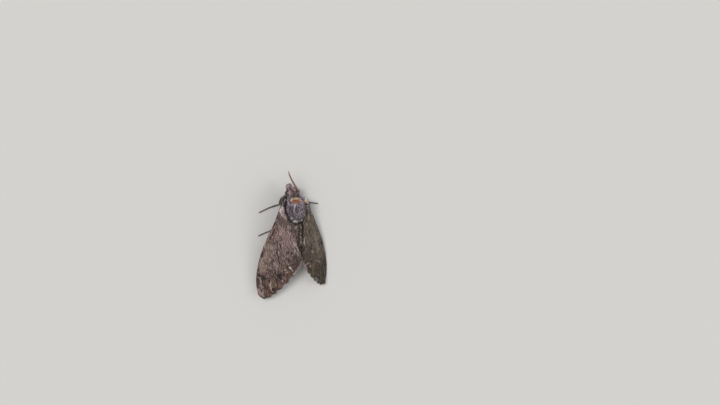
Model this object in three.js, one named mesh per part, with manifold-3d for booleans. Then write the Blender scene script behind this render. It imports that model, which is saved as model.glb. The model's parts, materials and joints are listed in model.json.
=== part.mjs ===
// A large hawk moth at rest with its wings folded back, life size, in millimetres.
// The head points to -Y, the back to +Z and the moth's own left side to +X. The feet stand on z = 0.
// Every soft part is a plain closed solid of the outline that its scales and hair reach.

import * as THREE from 'three';
import { mergeVertices } from 'three/addons/utils/BufferGeometryUtils.js';
import Module from 'manifold-3d';

const wasm = await Module();
wasm.setup();

// Driving dimensions

const gap = 0.3;                 // clear space between neighbouring solids
const up = new THREE.Vector3(0, 0, 1);
const degrees = Math.PI / 180;
const sides = { l: 1, r: -1 };   // the moth's own left and right

const trunk = { front: -7.0, rear: 7.3, frontZ: 10.0, middleZ: 10.8, rearZ: 10.4 };
const thoraxSections = [         // place along the trunk, half width, half height
  [0, 4.3, 4.2],
  [0.14, 5.5, 5.3],
  [0.32, 6.4, 6.1],
  [0.56, 6.6, 6.3],
  [0.8, 6.0, 5.6],
  [0.93, 5.0, 4.7],
  [1, 4.0, 3.9],
];

const abdomenLine = [            // from the waist to the tail, leaning to the moth's right
  [0, trunk.rear + 2 * gap, 10.0],
  [-0.2, 9.6, 9.7],
  [-0.9, 14, 8.6],
  [-2.4, 22, 7.4],
  [-4.3, 32.5, 5.6],
];
const abdomenSections = [
  [0, 3.9, 3.6],
  [0.12, 4.6, 4.0],
  [0.4, 4.7, 4.0],
  [0.7, 3.8, 3.3],
  [0.9, 2.3, 2.1],
  [1, 0.9, 0.9],
];
const abdomenLengths = 6;
const abdomenFold = 0.05;        // how far each length is drawn in at its ends, of its width

const headTurn = 14 * degrees;   // to the moth's left
const headLine = [[0, 0, -0.6], [-0.35, -1.5, -0.62], [-0.1, -3.2, -1.1], [0.1, -5.4, -1.9]];
const headSections = [
  [0, 3.2, 3.2],
  [0.25, 3.75, 3.8],
  [0.55, 2.95, 3.5],
  [0.82, 1.9, 2.6],
  [1, 1.1, 1.5],
];
const eye = { radius: 1.7, aside: 2.35, ahead: -2.4, z: -1.1 };
const palp = { from: [1.1, -2.4, -3.4], over: [0.98, -5.0, -3.0], to: [0.62, -6.9, -1.4] };
const palpSections = [[0, 0.7, 0.9], [0.35, 0.8, 1.4], [0.75, 0.65, 1.2], [1, 0.42, 0.6]];

const antennaSections = [[0, 0.55, 0.55], [0.08, 0.4, 0.4], [0.7, 0.42, 0.42], [1, 0.26, 0.26]];
const antennae = {
  l: [[3.05, -8.15, 11.4], [4.9, -8.9, 11.0], [6.6, -6.8, 9.9], [7.35, -2.0, 9.3], [9.3, 7.6, 8.4]],
  r: [[-2.4, -9.5, 11.4], [-2.3, -10.5, 13.0], [-0.3, -12.8, 14.2], [2.0, -16.5, 15.4], [4.4, -20.7, 17.0],
    [6.0, -24.4, 18.4]],
};

// Each wing lies in its own plane: length runs from the hinge to the tip, and
// reach runs across, from the front edge (negative) to the hind edge.
const wingPose = {
  l: { hinge: [7.6, -2.2, 12.2], sweep: 13.4, roof: 22.7, droop: 8.2, bend: 0.4, stretch: 1 },
  r: { hinge: [-7.2, -2.2, 12.2], sweep: 16.2, roof: 34.4, droop: 9.8, bend: 1.7, stretch: 0.966 },
};
const wingThick = 0.5;
const forewing = {
  from: -1.5,
  to: 55,
  drop: 0,
  arch: 0.8,
  front: [[-1.5, -0.4], [0, -1.5], [2, -1.9], [8, -2.5], [18, -4.4], [29, -5.9], [37, -6.0], [45, -5.1],
    [50, -3.5], [53, -1.7], [54.6, 0.2], [55, 1.5]],
  hind: [[-1.5, 0.4], [0, 0.7], [4.5, 2.0], [6.5, 4.2], [9, 7.0], [14, 10.0], [20, 13.3], [26.5, 17.3],
    [30, 18.0], [36, 16.1], [42, 13.2], [48, 9.5], [52, 6.5], [54.2, 4.2], [55, 2.5]],
};
const hindwing = {
  from: 7,
  to: 35,
  drop: 1.05,
  arch: 0.8,
  front: [[7, 0.8], [14, -1.2], [22, -2.6], [30, -2.0], [35, 1.2]],
  hind: [[7, 2.6], [12, 6.2], [18, 9.8], [23, 12.6], [28, 12.0], [33, 6.8], [35, 3.4]],
};

// The four turning points of each leg: where it leaves the body, knee, ankle and toe.
const knuckle = 0.5;             // how far each piece of a leg stops short of the turning point
const toeZ = 0.38;
const ankleDrop = 0.35;          // part of the tarsus that comes down before the rest lies flat
const legs = {
  fore: {
    l: [[2.4, -3.0, 7.0], [4.9, -6.3, 5.6], [5.4, -1.4, 1.8], [17.0, 1.9, toeZ]],
    r: [[-2.4, -3.0, 7.0], [-5.1, -6.3, 5.6], [-6.6, -1.2, 1.8], [-18.9, 1.8, toeZ]],
  },
  middle: {
    l: [[3.0, 1.2, 7.0], [8.6, 4.8, 6.2], [8.3, 13.0, 2.0], [18.1, 15.4, toeZ]],
    r: [[-3.0, 1.2, 7.0], [-8.4, 4.8, 6.2], [-7.2, 13.2, 2.0], [-16.4, 16.4, toeZ]],
  },
  hind: {
    l: [[2.4, 4.2, 7.6], [5.6, 13.0, 5.2], [8.6, 25.8, 2.2], [11.4, 39.0, toeZ]],
    r: [[-2.4, 4.2, 7.6], [-7.4, 13.0, 5.0], [-9.8, 25.6, 2.2], [-10.4, 39.2, toeZ]],
  },
};
const limbSections = {
  femur: [[0, 0.75, 0.8], [0.3, 1.0, 1.1], [0.8, 0.8, 0.85], [1, 0.4, 0.4]],
  tibia: [[0, 0.4, 0.4], [0.15, 0.75, 0.75], [0.8, 0.65, 0.65], [1, 0.4, 0.4]],
  tarsus: [[0, 0.38, 0.38], [0.2, 0.48, 0.45], [0.8, 0.46, 0.42], [1, 0.5, 0.42]],
};

// Materials

const finish = (color, roughness) => new THREE.MeshStandardMaterial({ color, roughness, metalness: 0 });
const furGrey = finish('#7d7479', 0.95);
const furBrown = finish('#7a6a60', 0.95);
const wingScales = finish('#75655c', 0.85);
const hindScales = finish('#4d4038', 0.85);
const legScales = finish('#4a3d39', 0.8);
const horn = finish('#8a5a3c', 0.6);
const eyeGloss = finish('#20151a', 0.15);

// Shapes

const spot = ([x, y, z]) => new THREE.Vector3(x, y, z);
const lineThrough = (points) => new THREE.CatmullRomCurve3(points.map(spot));
const rounded = (t) => 0.5 - 0.5 * Math.cos(Math.PI * t);
const even = (t) => t;

// Reads a short table of rows, each a place and its values, as smooth functions of the place.
function table(rows) {
  const places = rows.map((row) => row[0]);
  const values = rows.flatMap((row) => row.slice(1));
  const smooth = new THREE.CubicInterpolant(places, values, rows[0].length - 1);
  return (place) => Array.from(smooth.evaluate(place));
}

// A closed body along a curve, with flat ends square to it. The sections give the half width and
// half height from one end to the other, and spacing says how the rings crowd toward the ends.
function loft(curve, sections, around, rings, spacing = even, grow = 0) {
  const turn = Math.PI / around;
  const geometry = new THREE.CylinderGeometry(1, 1, 1, around, rings, false, turn);
  const place = geometry.attributes.position;
  const size = typeof sections === 'function' ? sections : table(sections);
  for (let i = 0; i < place.count; i++) {
    const t = THREE.MathUtils.clamp(spacing(place.getY(i) + 0.5), 0, 1);
    const along = curve.getTangentAt(t);
    const right = new THREE.Vector3().crossVectors(along, up).normalize();
    const over = new THREE.Vector3().crossVectors(right, along);
    const [halfWidth, halfHeight] = size(t);
    const point = curve.getPointAt(t)
      .addScaledVector(right, place.getX(i) * (halfWidth + grow))
      .addScaledVector(over, place.getZ(i) * (halfHeight + grow))
      .addScaledVector(along, Math.sign(place.getY(i)) * (t === 0 || t === 1 ? grow : 0));
    place.setXYZ(i, point.x, point.y, point.z);
  }
  return geometry;
}

// Takes one closed geometry away from another.
function cut(geometry, tool) {
  const [kept, gone] = [geometry, tool].map((shape) => {
    const bare = shape.clone();
    bare.deleteAttribute('normal');
    bare.deleteAttribute('uv');
    const merged = mergeVertices(bare, 1e-4);
    return new wasm.Manifold(new wasm.Mesh({
      numProp: 3,
      vertProperties: merged.attributes.position.array,
      triVerts: new Uint32Array(merged.index.array),
    }));
  });
  const { vertProperties, triVerts } = kept.subtract(gone).getMesh();
  const result = new THREE.BufferGeometry();
  result.setAttribute('position', new THREE.BufferAttribute(vertProperties, 3));
  result.setIndex(new THREE.BufferAttribute(triVerts, 1));
  return result;
}

function part(name, geometry, material) {
  const mesh = new THREE.Mesh(geometry, material);
  mesh.name = name;
  return mesh;
}

const moth = new THREE.Group();

// Thorax: one barrel, highest over the wing hinges

const trunkLine = lineThrough([
  [0, trunk.front, trunk.frontZ],
  [0, (trunk.front + trunk.rear) / 2, trunk.middleZ],
  [0, trunk.rear, trunk.rearZ],
]);
const thoraxShape = (grow) => loft(trunkLine, thoraxSections, 24, 14, rounded, grow);
moth.add(part('thorax', thoraxShape(0), furGrey));

// Abdomen: lengths that fit end to end along one line, each drawn in a little at its ends

const abdomenCurve = lineThrough(abdomenLine);
const abdomenSize = table(abdomenSections);
const abdomenPause = gap / abdomenCurve.getLength() / 2;

function foldedSize(t) {
  const place = t * abdomenLengths;
  const offFold = 2 * Math.abs(place - Math.round(place));
  return abdomenSize(t).map((value) => value * (1 - abdomenFold * (1 - offFold) ** 3));
}

for (let i = 0; i < abdomenLengths; i++) {
  const start = i / abdomenLengths + (i > 0 ? abdomenPause : 0);
  const end = (i + 1) / abdomenLengths - (i < abdomenLengths - 1 ? abdomenPause : 0);
  const spacing = (t) => THREE.MathUtils.lerp(start, end, t);
  moth.add(part(`abdomen_${i + 1}`, loft(abdomenCurve, foldedSize, 20, 4, spacing), furBrown));
}

// Head: turned on the neck, with an eye, a palp and a feeler on each side

const headFrame = new THREE.Group();
headFrame.position.set(0, trunk.front - 1.5 * gap, trunk.frontZ);
headFrame.rotation.z = headTurn;
headFrame.updateMatrixWorld();
moth.add(headFrame);

const headShape = (grow) => loft(lineThrough(headLine), headSections, 20, 10, rounded, grow);

function eyeShape(side, grow) {
  return new THREE.SphereGeometry(eye.radius + grow, 16, 12).translate(side * eye.aside, eye.ahead, eye.z);
}

headFrame.add(part('head', Object.values(sides).reduce(
  (shape, side) => cut(shape, eyeShape(side, gap)), headShape(0)), furGrey));

for (const [name, side] of Object.entries(sides)) {
  headFrame.add(part(`eye_${name}`, eyeShape(side, 0), eyeGloss));
  const palpLine = lineThrough([palp.from, palp.over, palp.to].map(([x, y, z]) => [side * x, y, z]));
  const palpShape = loft(palpLine, palpSections, 10, 7);
  headFrame.add(part(`palp_${name}`, cut(palpShape, headShape(gap)), furGrey));
  const antenna = loft(lineThrough(antennae[name]), antennaSections, 8, 16);
  const headAround = headShape(gap).applyMatrix4(headFrame.matrixWorld);
  const eyeAround = eyeShape(side, gap).applyMatrix4(headFrame.matrixWorld);
  moth.add(part(`antenna_${name}`, cut(cut(antenna, headAround), eyeAround), horn));
}

// Wings: arched plates, the hind wing lying close under the forewing

const crowdedToTip = (t) => 0.55 * t + 0.45 * Math.sin(0.5 * Math.PI * t);

function wingShape(plan, side, { bend, stretch }) {
  const geometry = new THREE.BoxGeometry(1, 1, 1, 20, 6, 1);
  const place = geometry.attributes.position;
  const front = table(plan.front);
  const hind = table(plan.hind);
  for (let i = 0; i < place.count; i++) {
    const length = THREE.MathUtils.lerp(plan.from, plan.to, crowdedToTip(place.getX(i) + 0.5));
    const across = 0.5 + side * place.getY(i);
    const reach = THREE.MathUtils.lerp(front(length)[0], hind(length)[0], across);
    const share = Math.max(0, length) / forewing.to;
    const arch = plan.arch * Math.sin(Math.PI * across) * Math.min(1, 3 * share);
    const rise = arch - bend * share ** 3 - plan.drop;
    place.setXYZ(i, length * stretch, side * reach, rise + place.getZ(i) * wingThick);
  }
  return geometry;
}

for (const [name, side] of Object.entries(sides)) {
  const pose = wingPose[name];
  const wings = new THREE.Group();
  wings.position.set(...pose.hinge);
  wings.rotation.set(
    side * pose.roof * degrees,
    pose.droop * degrees,
    Math.PI / 2 - side * pose.sweep * degrees,
    'ZYX',
  );
  wings.add(part(`forewing_${name}`, wingShape(forewing, side, pose), wingScales));
  wings.add(part(`hindwing_${name}`, wingShape(hindwing, side, pose), hindScales));
  moth.add(wings);
}

// Legs: thigh, shin and foot, each drawn back a little from the next

function limb(points, sections, around, rings) {
  const shape = loft(lineThrough(points), sections, around, rings);
  const place = shape.attributes.position;
  for (let i = 0; i < place.count; i++) {
    place.setZ(i, Math.max(0, place.getZ(i)));
  }
  return shape;
}

function towards(from, to, distance) {
  const step = spot(to).sub(spot(from)).setLength(distance);
  return spot(from).add(step).toArray();
}

for (const [pair, both] of Object.entries(legs)) {
  for (const [name, [root, knee, ankle, toe]] of Object.entries(both)) {
    const leg = `leg_${pair}_${name}`;
    const thigh = [root, towards(knee, root, knuckle)];
    const shin = [towards(knee, ankle, knuckle), towards(ankle, knee, knuckle)];
    const sole = spot(ankle).lerp(spot(toe), ankleDrop).setZ(toeZ).toArray();
    const foot = [towards(ankle, sole, knuckle), sole, toe];
    const thighShape = cut(limb(thigh, limbSections.femur, 8, 5), thoraxShape(gap));
    moth.add(part(`${leg}_femur`, thighShape, legScales));
    moth.add(part(`${leg}_tibia`, limb(shin, limbSections.tibia, 8, 4), legScales));
    moth.add(part(`${leg}_tarsus`, limb(foot, limbSections.tarsus, 8, 8), legScales));
  }
}

// Stand the moth with the middle of its outline over the origin

const outline = new THREE.Box3().setFromObject(moth, true);
const middle = outline.getCenter(new THREE.Vector3());
moth.position.set(-middle.x, -middle.y, 0);

export default moth;
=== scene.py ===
import json
import math

import bmesh
import bpy
import numpy as np
from mathutils import Euler, Matrix, Vector, noise

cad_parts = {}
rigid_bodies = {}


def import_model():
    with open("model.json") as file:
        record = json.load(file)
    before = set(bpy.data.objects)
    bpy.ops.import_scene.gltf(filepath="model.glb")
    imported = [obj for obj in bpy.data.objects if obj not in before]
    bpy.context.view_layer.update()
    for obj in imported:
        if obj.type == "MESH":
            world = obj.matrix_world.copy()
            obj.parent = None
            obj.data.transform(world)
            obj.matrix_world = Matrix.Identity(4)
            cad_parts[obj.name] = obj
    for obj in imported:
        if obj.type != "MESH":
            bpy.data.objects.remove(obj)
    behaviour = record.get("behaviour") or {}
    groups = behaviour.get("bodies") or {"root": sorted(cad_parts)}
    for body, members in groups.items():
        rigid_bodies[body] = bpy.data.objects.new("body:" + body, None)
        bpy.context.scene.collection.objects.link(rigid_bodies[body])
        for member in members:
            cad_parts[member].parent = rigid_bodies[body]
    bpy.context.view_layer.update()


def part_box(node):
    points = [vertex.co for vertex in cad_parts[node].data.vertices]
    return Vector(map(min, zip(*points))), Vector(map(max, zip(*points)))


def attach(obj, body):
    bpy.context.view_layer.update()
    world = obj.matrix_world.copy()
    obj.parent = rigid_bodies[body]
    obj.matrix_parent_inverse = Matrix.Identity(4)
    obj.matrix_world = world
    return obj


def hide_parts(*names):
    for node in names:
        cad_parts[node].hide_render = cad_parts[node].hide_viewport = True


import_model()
mm = 0.001

# A hawk moth at rest. Shapes are worked out in the moth's own frame, in millimetres: the thorax
# stands over its origin, the head points to -Y, the back to +Z and the moth's left side to +X.

head = {
    "place": (0, -7.45, 10.0),
    "turn": math.radians(14),  # to the moth's left
    "eye": (2.35, -2.4, -1.1),  # left eye, in the head's own frame
    "eyeRadius": 1.7,
    "eyeGap": 0.05,  # between an eye and the nearest tuft
}
headMatrix = Matrix.Translation(head["place"]) @ Matrix.Rotation(head["turn"], 4, "Z")


def middleOf(node):
    low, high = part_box(node)
    return (low + high) / 2


eyesMiddle = (middleOf("eye_l") + middleOf("eye_r")) / 2 / mm
mothPlace = np.array(eyesMiddle - headMatrix @ Vector((0, *head["eye"][1:])))


def linear(colour):  # sRGB hex to linear light
    parts = [int(colour[i:i + 2], 16) / 255 for i in (1, 3, 5)]
    return np.array([c / 12.92 if c < 0.0405 else ((c + 0.055) / 1.055) ** 2.4 for c in parts])


def palette(**colours):
    return {kind: linear(colour) for kind, colour in colours.items()}


# numbers that follow smooth curves

def smoothStep(low, high, value):
    t = np.clip((value - low) / (high - low), 0, 1)
    return t * t * (3 - 2 * t)


def unit(vectors):
    return vectors / np.maximum(np.linalg.norm(vectors, axis=-1, keepdims=True), 1e-9)


def readRows(rows, places):  # each row is a place and its values
    rows = np.array(rows, float)
    at, values = rows[:, 0], rows[:, 1:]
    slopes = np.gradient(values, at, axis=0)
    places = np.clip(places, at[0], at[-1])
    k = np.clip(np.searchsorted(at, places, side="right") - 1, 0, len(at) - 2)
    width = (at[k + 1] - at[k])[:, None]
    t = (places - at[k])[:, None] / width
    start = (2 * t**3 - 3 * t**2 + 1) * values[k] + (t**3 - 2 * t**2 + t) * width * slopes[k]
    end = (3 * t**2 - 2 * t**3) * values[k + 1] + (t**3 - t**2) * width * slopes[k + 1]
    return start + end


def alongLine(points, places):  # places run from 0 to 1 by length
    points = np.array(points, float)
    chords = np.r_[0, np.cumsum(np.linalg.norm(np.diff(points, axis=0), axis=1))]
    rows = np.c_[chords, points]
    fine = np.linspace(0, chords[-1], 300)
    steps = np.linalg.norm(np.diff(readRows(rows, fine), axis=0), axis=1)
    run = np.r_[0, np.cumsum(steps)]
    return readRows(rows, np.interp(np.clip(places, 0, 1) * run[-1], run, fine))


def nearness(points, line, halfWidth):  # 1 on a line or spot, 0 outside its width
    line = np.array(line, float).reshape(-1, points.shape[1])
    if len(line) == 1:
        line = np.r_[line, line + 1e-4]
    best = np.full(len(points), np.inf)
    for a, b in zip(line[:-1], line[1:]):
        t = np.clip((points - a) @ (b - a) / ((b - a) @ (b - a)), 0, 1)
        best = np.minimum(best, np.linalg.norm(points - a - t[:, None] * (b - a), axis=1))
    return 1 - smoothStep(0.55 * halfWidth, 1.45 * halfWidth, best)


def wobble(points, size, layer):  # smooth noise, mostly from -1 to 1
    shift = Vector((31.7 * layer, 17.3 * layer, 0))
    return np.array([noise.noise(Vector((*p, 0)[:3]) / size + shift) for p in points]) * 1.6


def tint(colours, weight, colour):  # moves the colours towards another one, by each point's weight
    colours += weight[:, None] * (colour - colours)


def paint(colours, points, marks, paints):  # each mark is its colour, strength, half width and course
    for kind, strength, halfWidth, line in marks:
        tint(colours, strength * nearness(points, line, halfWidth), paints[kind])


# meshes

def readVectors(items, field):
    flat = np.zeros(len(items) * 3, np.float32)
    items.foreach_get(field, flat)
    return flat.reshape(-1, 3).astype(float)


def coordinatesOf(mesh):  # in the moth's frame, in millimetres
    return readVectors(mesh.vertices, "co") / mm - mothPlace


def normalsOf(mesh):
    return readVectors(mesh.vertex_normals, "vector")


def cornersOf(mesh):  # the vertex at each face corner, and where each face's corners start
    loops = np.zeros(len(mesh.loops), np.int32)
    mesh.loops.foreach_get("vertex_index", loops)
    starts = np.zeros(len(mesh.polygons), np.int32)
    mesh.polygons.foreach_get("loop_start", starts)
    return loops, starts


def makeMesh(name, points, faces):
    mesh = bpy.data.meshes.new(name)
    mesh.from_pydata(((np.array(points, float) + mothPlace) * mm).tolist(), [], faces)
    shape = bmesh.new()
    shape.from_mesh(mesh)
    bmesh.ops.recalc_face_normals(shape, faces=shape.faces)
    shape.to_mesh(mesh)
    shape.free()
    mesh.shade_smooth()
    return mesh


def addPiece(name, mesh, material, nodes=()):
    piece = bpy.data.objects.new(name, mesh)
    bpy.context.scene.collection.objects.link(piece)
    mesh.name = name
    mesh.materials.clear()
    mesh.materials.append(material)
    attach(piece, "root")
    if nodes:
        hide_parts(*nodes)
    return piece


def give(mesh, name, kind, values, domain="POINT"):
    layer = mesh.attributes.new(name, kind, domain)
    field = {"FLOAT_COLOR": "color", "FLOAT_VECTOR": "vector"}.get(kind, "value")
    if kind == "FLOAT_COLOR":
        values = np.c_[values, np.ones(len(values))]
    kindOfNumber = bool if kind == "BOOLEAN" else np.float32
    layer.data.foreach_set(field, np.ascontiguousarray(values, kindOfNumber).ravel())


def join(*shapes):  # each shape is its points and faces
    points, faces, count = [], [], 0
    for part, partFaces in shapes:
        points.append(np.array(part, float))
        faces += [[i + count for i in face] for face in partFaces]
        count += len(part)
    return np.concatenate(points), faces


def tubeFaces(around, rings):  # quads between rings of points, and a fan to the point past each end
    faces = []
    for j in range(around):
        k = (j + 1) % around
        faces += [[i * around + j, (i + 1) * around + j, (i + 1) * around + k, i * around + k]
                  for i in range(rings - 1)]
        faces += [[rings * around, j, k],
                  [rings * around + 1, (rings - 1) * around + k, (rings - 1) * around + j]]
    return faces


def loft(line, sections, around, rings, dome=0.4, wave=None, up=(0, 0, 1)):
    # a closed body along a line, with half width and half height from its sections
    places = np.linspace(0, 1, rings)
    middle = alongLine(line, places)
    along = unit(np.gradient(middle, axis=0))
    right = unit(np.cross(along, up))
    over = np.cross(right, along)
    sizes = readRows(sections, places)
    if wave is not None:
        sizes = sizes * wave(places)[:, None]
    turn = np.arange(around) / around * 2 * np.pi
    ring = middle[:, None] + right[:, None] * (np.cos(turn)[:, None] * sizes[:, None, :1])
    ring = ring + over[:, None] * (np.sin(turn)[:, None] * sizes[:, None, 1:])
    ends = [middle[k] + sign * along[k] * dome * sizes[k].mean() for k, sign in ((0, -1), (-1, 1))]
    return np.concatenate([ring.reshape(-1, 3), ends]), tubeFaces(around, rings)


def ball(centre, radii, around=20, rings=12):
    turns = np.linspace(0, np.pi, rings + 2)[1:-1]
    angle = np.arange(around) / around * 2 * np.pi
    ring = np.stack([np.outer(np.sin(turns), np.cos(angle)), np.outer(np.sin(turns), np.sin(angle)),
                     np.outer(np.cos(turns), np.ones(around))], -1).reshape(-1, 3)
    return np.concatenate([ring, [[0, 0, 1], [0, 0, -1]]]) * radii + centre, tubeFaces(around, rings)


def plainMesh(host):  # what an object's modifiers make of it; the object itself goes
    depsgraph = bpy.context.evaluated_depsgraph_get()
    mesh = bpy.data.meshes.new_from_object(
        host.evaluated_get(depsgraph), preserve_all_data_layers=True, depsgraph=depsgraph)
    bpy.data.objects.remove(host)
    return mesh


def fuse(name, shapes, voxel, smoothing):  # one closed skin over shapes that run into each other
    host = bpy.data.objects.new(name, makeMesh(name, *join(*shapes)))
    bpy.context.scene.collection.objects.link(host)
    remesh = host.modifiers.new("fuse", "REMESH")
    remesh.mode = "VOXEL"
    remesh.voxel_size = voxel * mm
    soften = host.modifiers.new("soften", "SMOOTH")
    soften.iterations = smoothing
    mesh = plainMesh(host)
    mesh.shade_smooth()
    return mesh


def shrunk(rows, depth):  # sections with room left for the coat
    return [(row[0], *(max(0.12, value - depth) for value in row[1:])) for row in rows]


# node trees

def feed(tree, node, inputs):  # an input takes a value, a socket, or another node's first output
    for key, value in inputs.items():
        if isinstance(value, bpy.types.Node):
            value = value.outputs[0]
        if isinstance(value, bpy.types.NodeSocket):
            tree.links.new(value, node.inputs[key])
        else:
            node.inputs[key].default_value = value


def addNode(tree, kind, settings, inputs):
    node = tree.nodes.new(kind)
    for key, value in settings.items():
        setattr(node, key, value)
    feed(tree, node, inputs)
    return node


def newMaterial(name):
    material = bpy.data.materials.new(name)
    material.use_nodes = True
    tree = material.node_tree
    return material, tree, tree.nodes["Principled BSDF"]


# materials

def coatMaterial(name, flecks, roughness, sheen, specular, depth=1.0, bump=0.0):
    # moth scales: flat dusty plates of dry chitin, matt with a silky edge, each of its own shade
    material, tree, shader = newMaterial(name)
    marks, shade, contrast, vane = (
        addNode(tree, "ShaderNodeAttribute", {"attribute_name": label}, {})
        for label in ("coatColour", "tuftShade", "speckle", "vanePlace"))
    place = addNode(tree, "ShaderNodeTexCoord", {}, {}).outputs["Object"]
    tip = addNode(tree, "ShaderNodeSeparateXYZ", {}, {0: vane.outputs["Vector"]}).outputs["Y"]
    factors = []
    for size, detail, rough, spread in ((flecks["size"], 3.0, 0.6, flecks["amount"]),
                                        (flecks["cloud"], 1.0, 0.5, 0.1)):
        patch = addNode(tree, "ShaderNodeTexNoise", {}, {
            "Vector": place, "Scale": 1 / (size * mm), "Detail": detail, "Roughness": rough})
        factors.append(addNode(tree, "ShaderNodeMapRange", {}, {
            "Value": patch, "From Min": 0.3, "From Max": 0.7, "To Min": 1 - spread, "To Max": 1 + spread}))
    paler = addNode(tree, "ShaderNodeMath", {"operation": "MULTIPLY_ADD"}, {0: tip, 1: flecks["tip"], 2: 1.0})
    own = shade.outputs["Fac"]
    for operation, value in (("SUBTRACT", 0.5), ("MULTIPLY", contrast.outputs["Fac"]), ("ADD", 1.0),
                             *(("MULTIPLY", factor) for factor in (*factors, paler, depth))):
        own = addNode(tree, "ShaderNodeMath", {"operation": operation}, {0: own, 1: value})
    colour = addNode(tree, "ShaderNodeVectorMath", {"operation": "SCALE"}, {
        0: marks.outputs["Color"], "Scale": own})
    feed(tree, shader, {"Base Color": colour, "Roughness": roughness, "Specular IOR Level": specular,
                        "Sheen Weight": sheen, "Sheen Roughness": 0.4})
    if bump:
        grain = addNode(tree, "ShaderNodeTexNoise", {}, {
            "Vector": place, "Scale": 1 / (0.12 * mm), "Detail": 2.0})
        feed(tree, shader, {"Normal": addNode(tree, "ShaderNodeBump", {}, {
            "Strength": bump, "Distance": 0.05 * mm, "Height": grain})})
    return material


def shellMaterial(name, colour, deep, roughness, coat, grain, bump):
    # bare cuticle: smooth waxy chitin, dark where it is thick
    material, tree, shader = newMaterial(name)
    place = addNode(tree, "ShaderNodeTexCoord", {}, {}).outputs["Object"]
    patch = addNode(tree, "ShaderNodeTexNoise", {}, {
        "Vector": place, "Scale": 1 / (grain * mm), "Detail": 3.0})
    mixed = addNode(tree, "ShaderNodeMix", {"data_type": "RGBA"}, {
        0: patch, 6: (*linear(deep), 1), 7: (*linear(colour), 1)})
    raised = addNode(tree, "ShaderNodeBump", {}, {
        "Strength": bump, "Distance": 0.04 * mm, "Height": patch})
    feed(tree, shader, {"Base Color": mixed.outputs[2], "Normal": raised, "Roughness": roughness,
                        "Coat Weight": coat, "Coat Roughness": 0.15})
    return material


def eyeMaterial():
    # compound eye: clear lens facets over dark wine-red pigment, glossy with a soft break-up
    facet = 0.1  # real facets are about 0.03 mm across, drawn coarser so that they show
    material, tree, shader = newMaterial("eyeLens")
    place = addNode(tree, "ShaderNodeTexCoord", {}, {}).outputs["Object"]
    cells = addNode(tree, "ShaderNodeTexVoronoi", {"feature": "DISTANCE_TO_EDGE"}, {
        "Vector": place, "Scale": 1 / (facet * mm), "Randomness": 0.25})
    edge = addNode(tree, "ShaderNodeMapRange", {}, {
        "Value": cells.outputs["Distance"], "From Min": 0.0, "From Max": 0.35})
    cloud = addNode(tree, "ShaderNodeTexNoise", {}, {"Vector": place, "Scale": 1 / (1.4 * mm)})
    mixed = addNode(tree, "ShaderNodeMix", {"data_type": "RGBA"}, {
        0: cloud, 6: (*linear("#1c0d13"), 1), 7: (*linear("#42202b"), 1)})
    raised = addNode(tree, "ShaderNodeBump", {}, {"Strength": 0.35, "Distance": 0.02 * mm, "Height": edge})
    feed(tree, shader, {"Base Color": mixed.outputs[2], "Normal": raised, "Roughness": 0.22,
                        "Coat Weight": 0.6, "Coat Roughness": 0.08})
    return material


wingFlecks = {"size": 0.6, "cloud": 5.0, "amount": 0.42, "tip": 0.12}
furFlecks = {"size": 0.6, "cloud": 4.0, "amount": 0.3, "tip": 0.2}
wingScale = coatMaterial("wingScale", wingFlecks, 0.62, 0.15, 0.3)
furScale = coatMaterial("furScale", furFlecks, 0.7, 0.2, 0.25)
wingSkinFinish = coatMaterial("wingMembrane", wingFlecks, 0.7, 0.1, 0.25, depth=0.72, bump=0.5)
bodySkinFinish = coatMaterial("bodyCuticle", furFlecks, 0.75, 0.1, 0.25, depth=0.6, bump=0.6)
clawHorn = shellMaterial("clawHorn", "#4a2c1e", "#1d110d", 0.3, 0.4, 0.5, 0.2)
tongueHorn = shellMaterial("tongueHorn", "#7a5233", "#4a2d1c", 0.4, 0.2, 0.3, 0.3)
eyeLens = eyeMaterial()

# templates of one scale and one tuft, with their own place from -0.5 to 0.5 for the coat's map

templates = bpy.data.collections.new("templates")
bpy.context.scene.collection.children.link(templates)


def template(name, points, faces, places, smooth):
    mesh = bpy.data.meshes.new(name)
    mesh.from_pydata(points, [], faces)
    mesh.shade_smooth() if smooth else mesh.shade_flat()
    give(mesh, "vanePlace", "FLOAT_VECTOR", np.array(places, float))
    made = bpy.data.objects.new(name, mesh)
    templates.objects.link(made)
    return made


def scaleVane():  # a thin kite with a low ridge, widest past its middle
    points = [(0, 0, 0.1), (-0.5, 0.6, 0), (0.5, 0.6, 0), (0, 1, 0.1)]
    places = [(x, y - 0.5, 0) for x, y, _ in points]
    return template("scaleVane", points, [(0, 2, 3), (0, 3, 1), (0, 1, 2), (1, 3, 2)], places, False)


def hairTuft():  # a lock that bows up, swells before its middle and narrows to its tip
    middle, rise, half = 0.42, 0.24, 0.5  # along, up, half width
    points, places, faces = [(0, 0, 0.05)], [(0, -0.5, 0)], []
    for k in range(3):
        turn = math.radians(90 + 120 * k)
        points.append((half * math.cos(turn), middle, rise + half * 0.5 * math.sin(turn)))
        places.append((half * math.cos(turn), 0.1 * math.sin(turn), 0))
        n = (k + 1) % 3
        faces += [(0, 1 + k, 1 + n), (4, 1 + n, 1 + k)]
    points.append((0, 1, 0.14))
    places.append((0, 0.5, 0))
    return template("hairTuft", points, faces, places, True)


# the coat: vanes or tufts over a skin, lying along its "lie" and sized by its "coatSize"

degree = math.radians(1)
coatUnits = {"spacing": mm, "most": mm**-2, "length": mm, "width": mm, "thickness": mm, "lift": degree,
             "liftSpread": degree, "yawSpread": degree, "sizeSpread": 1}  # what one of each setting is
bakePatch = 0.003  # how much of its skin's map one vane or tuft takes
floorGap = 0.02  # mm; nothing dips under the surface the moth stands on


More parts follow.
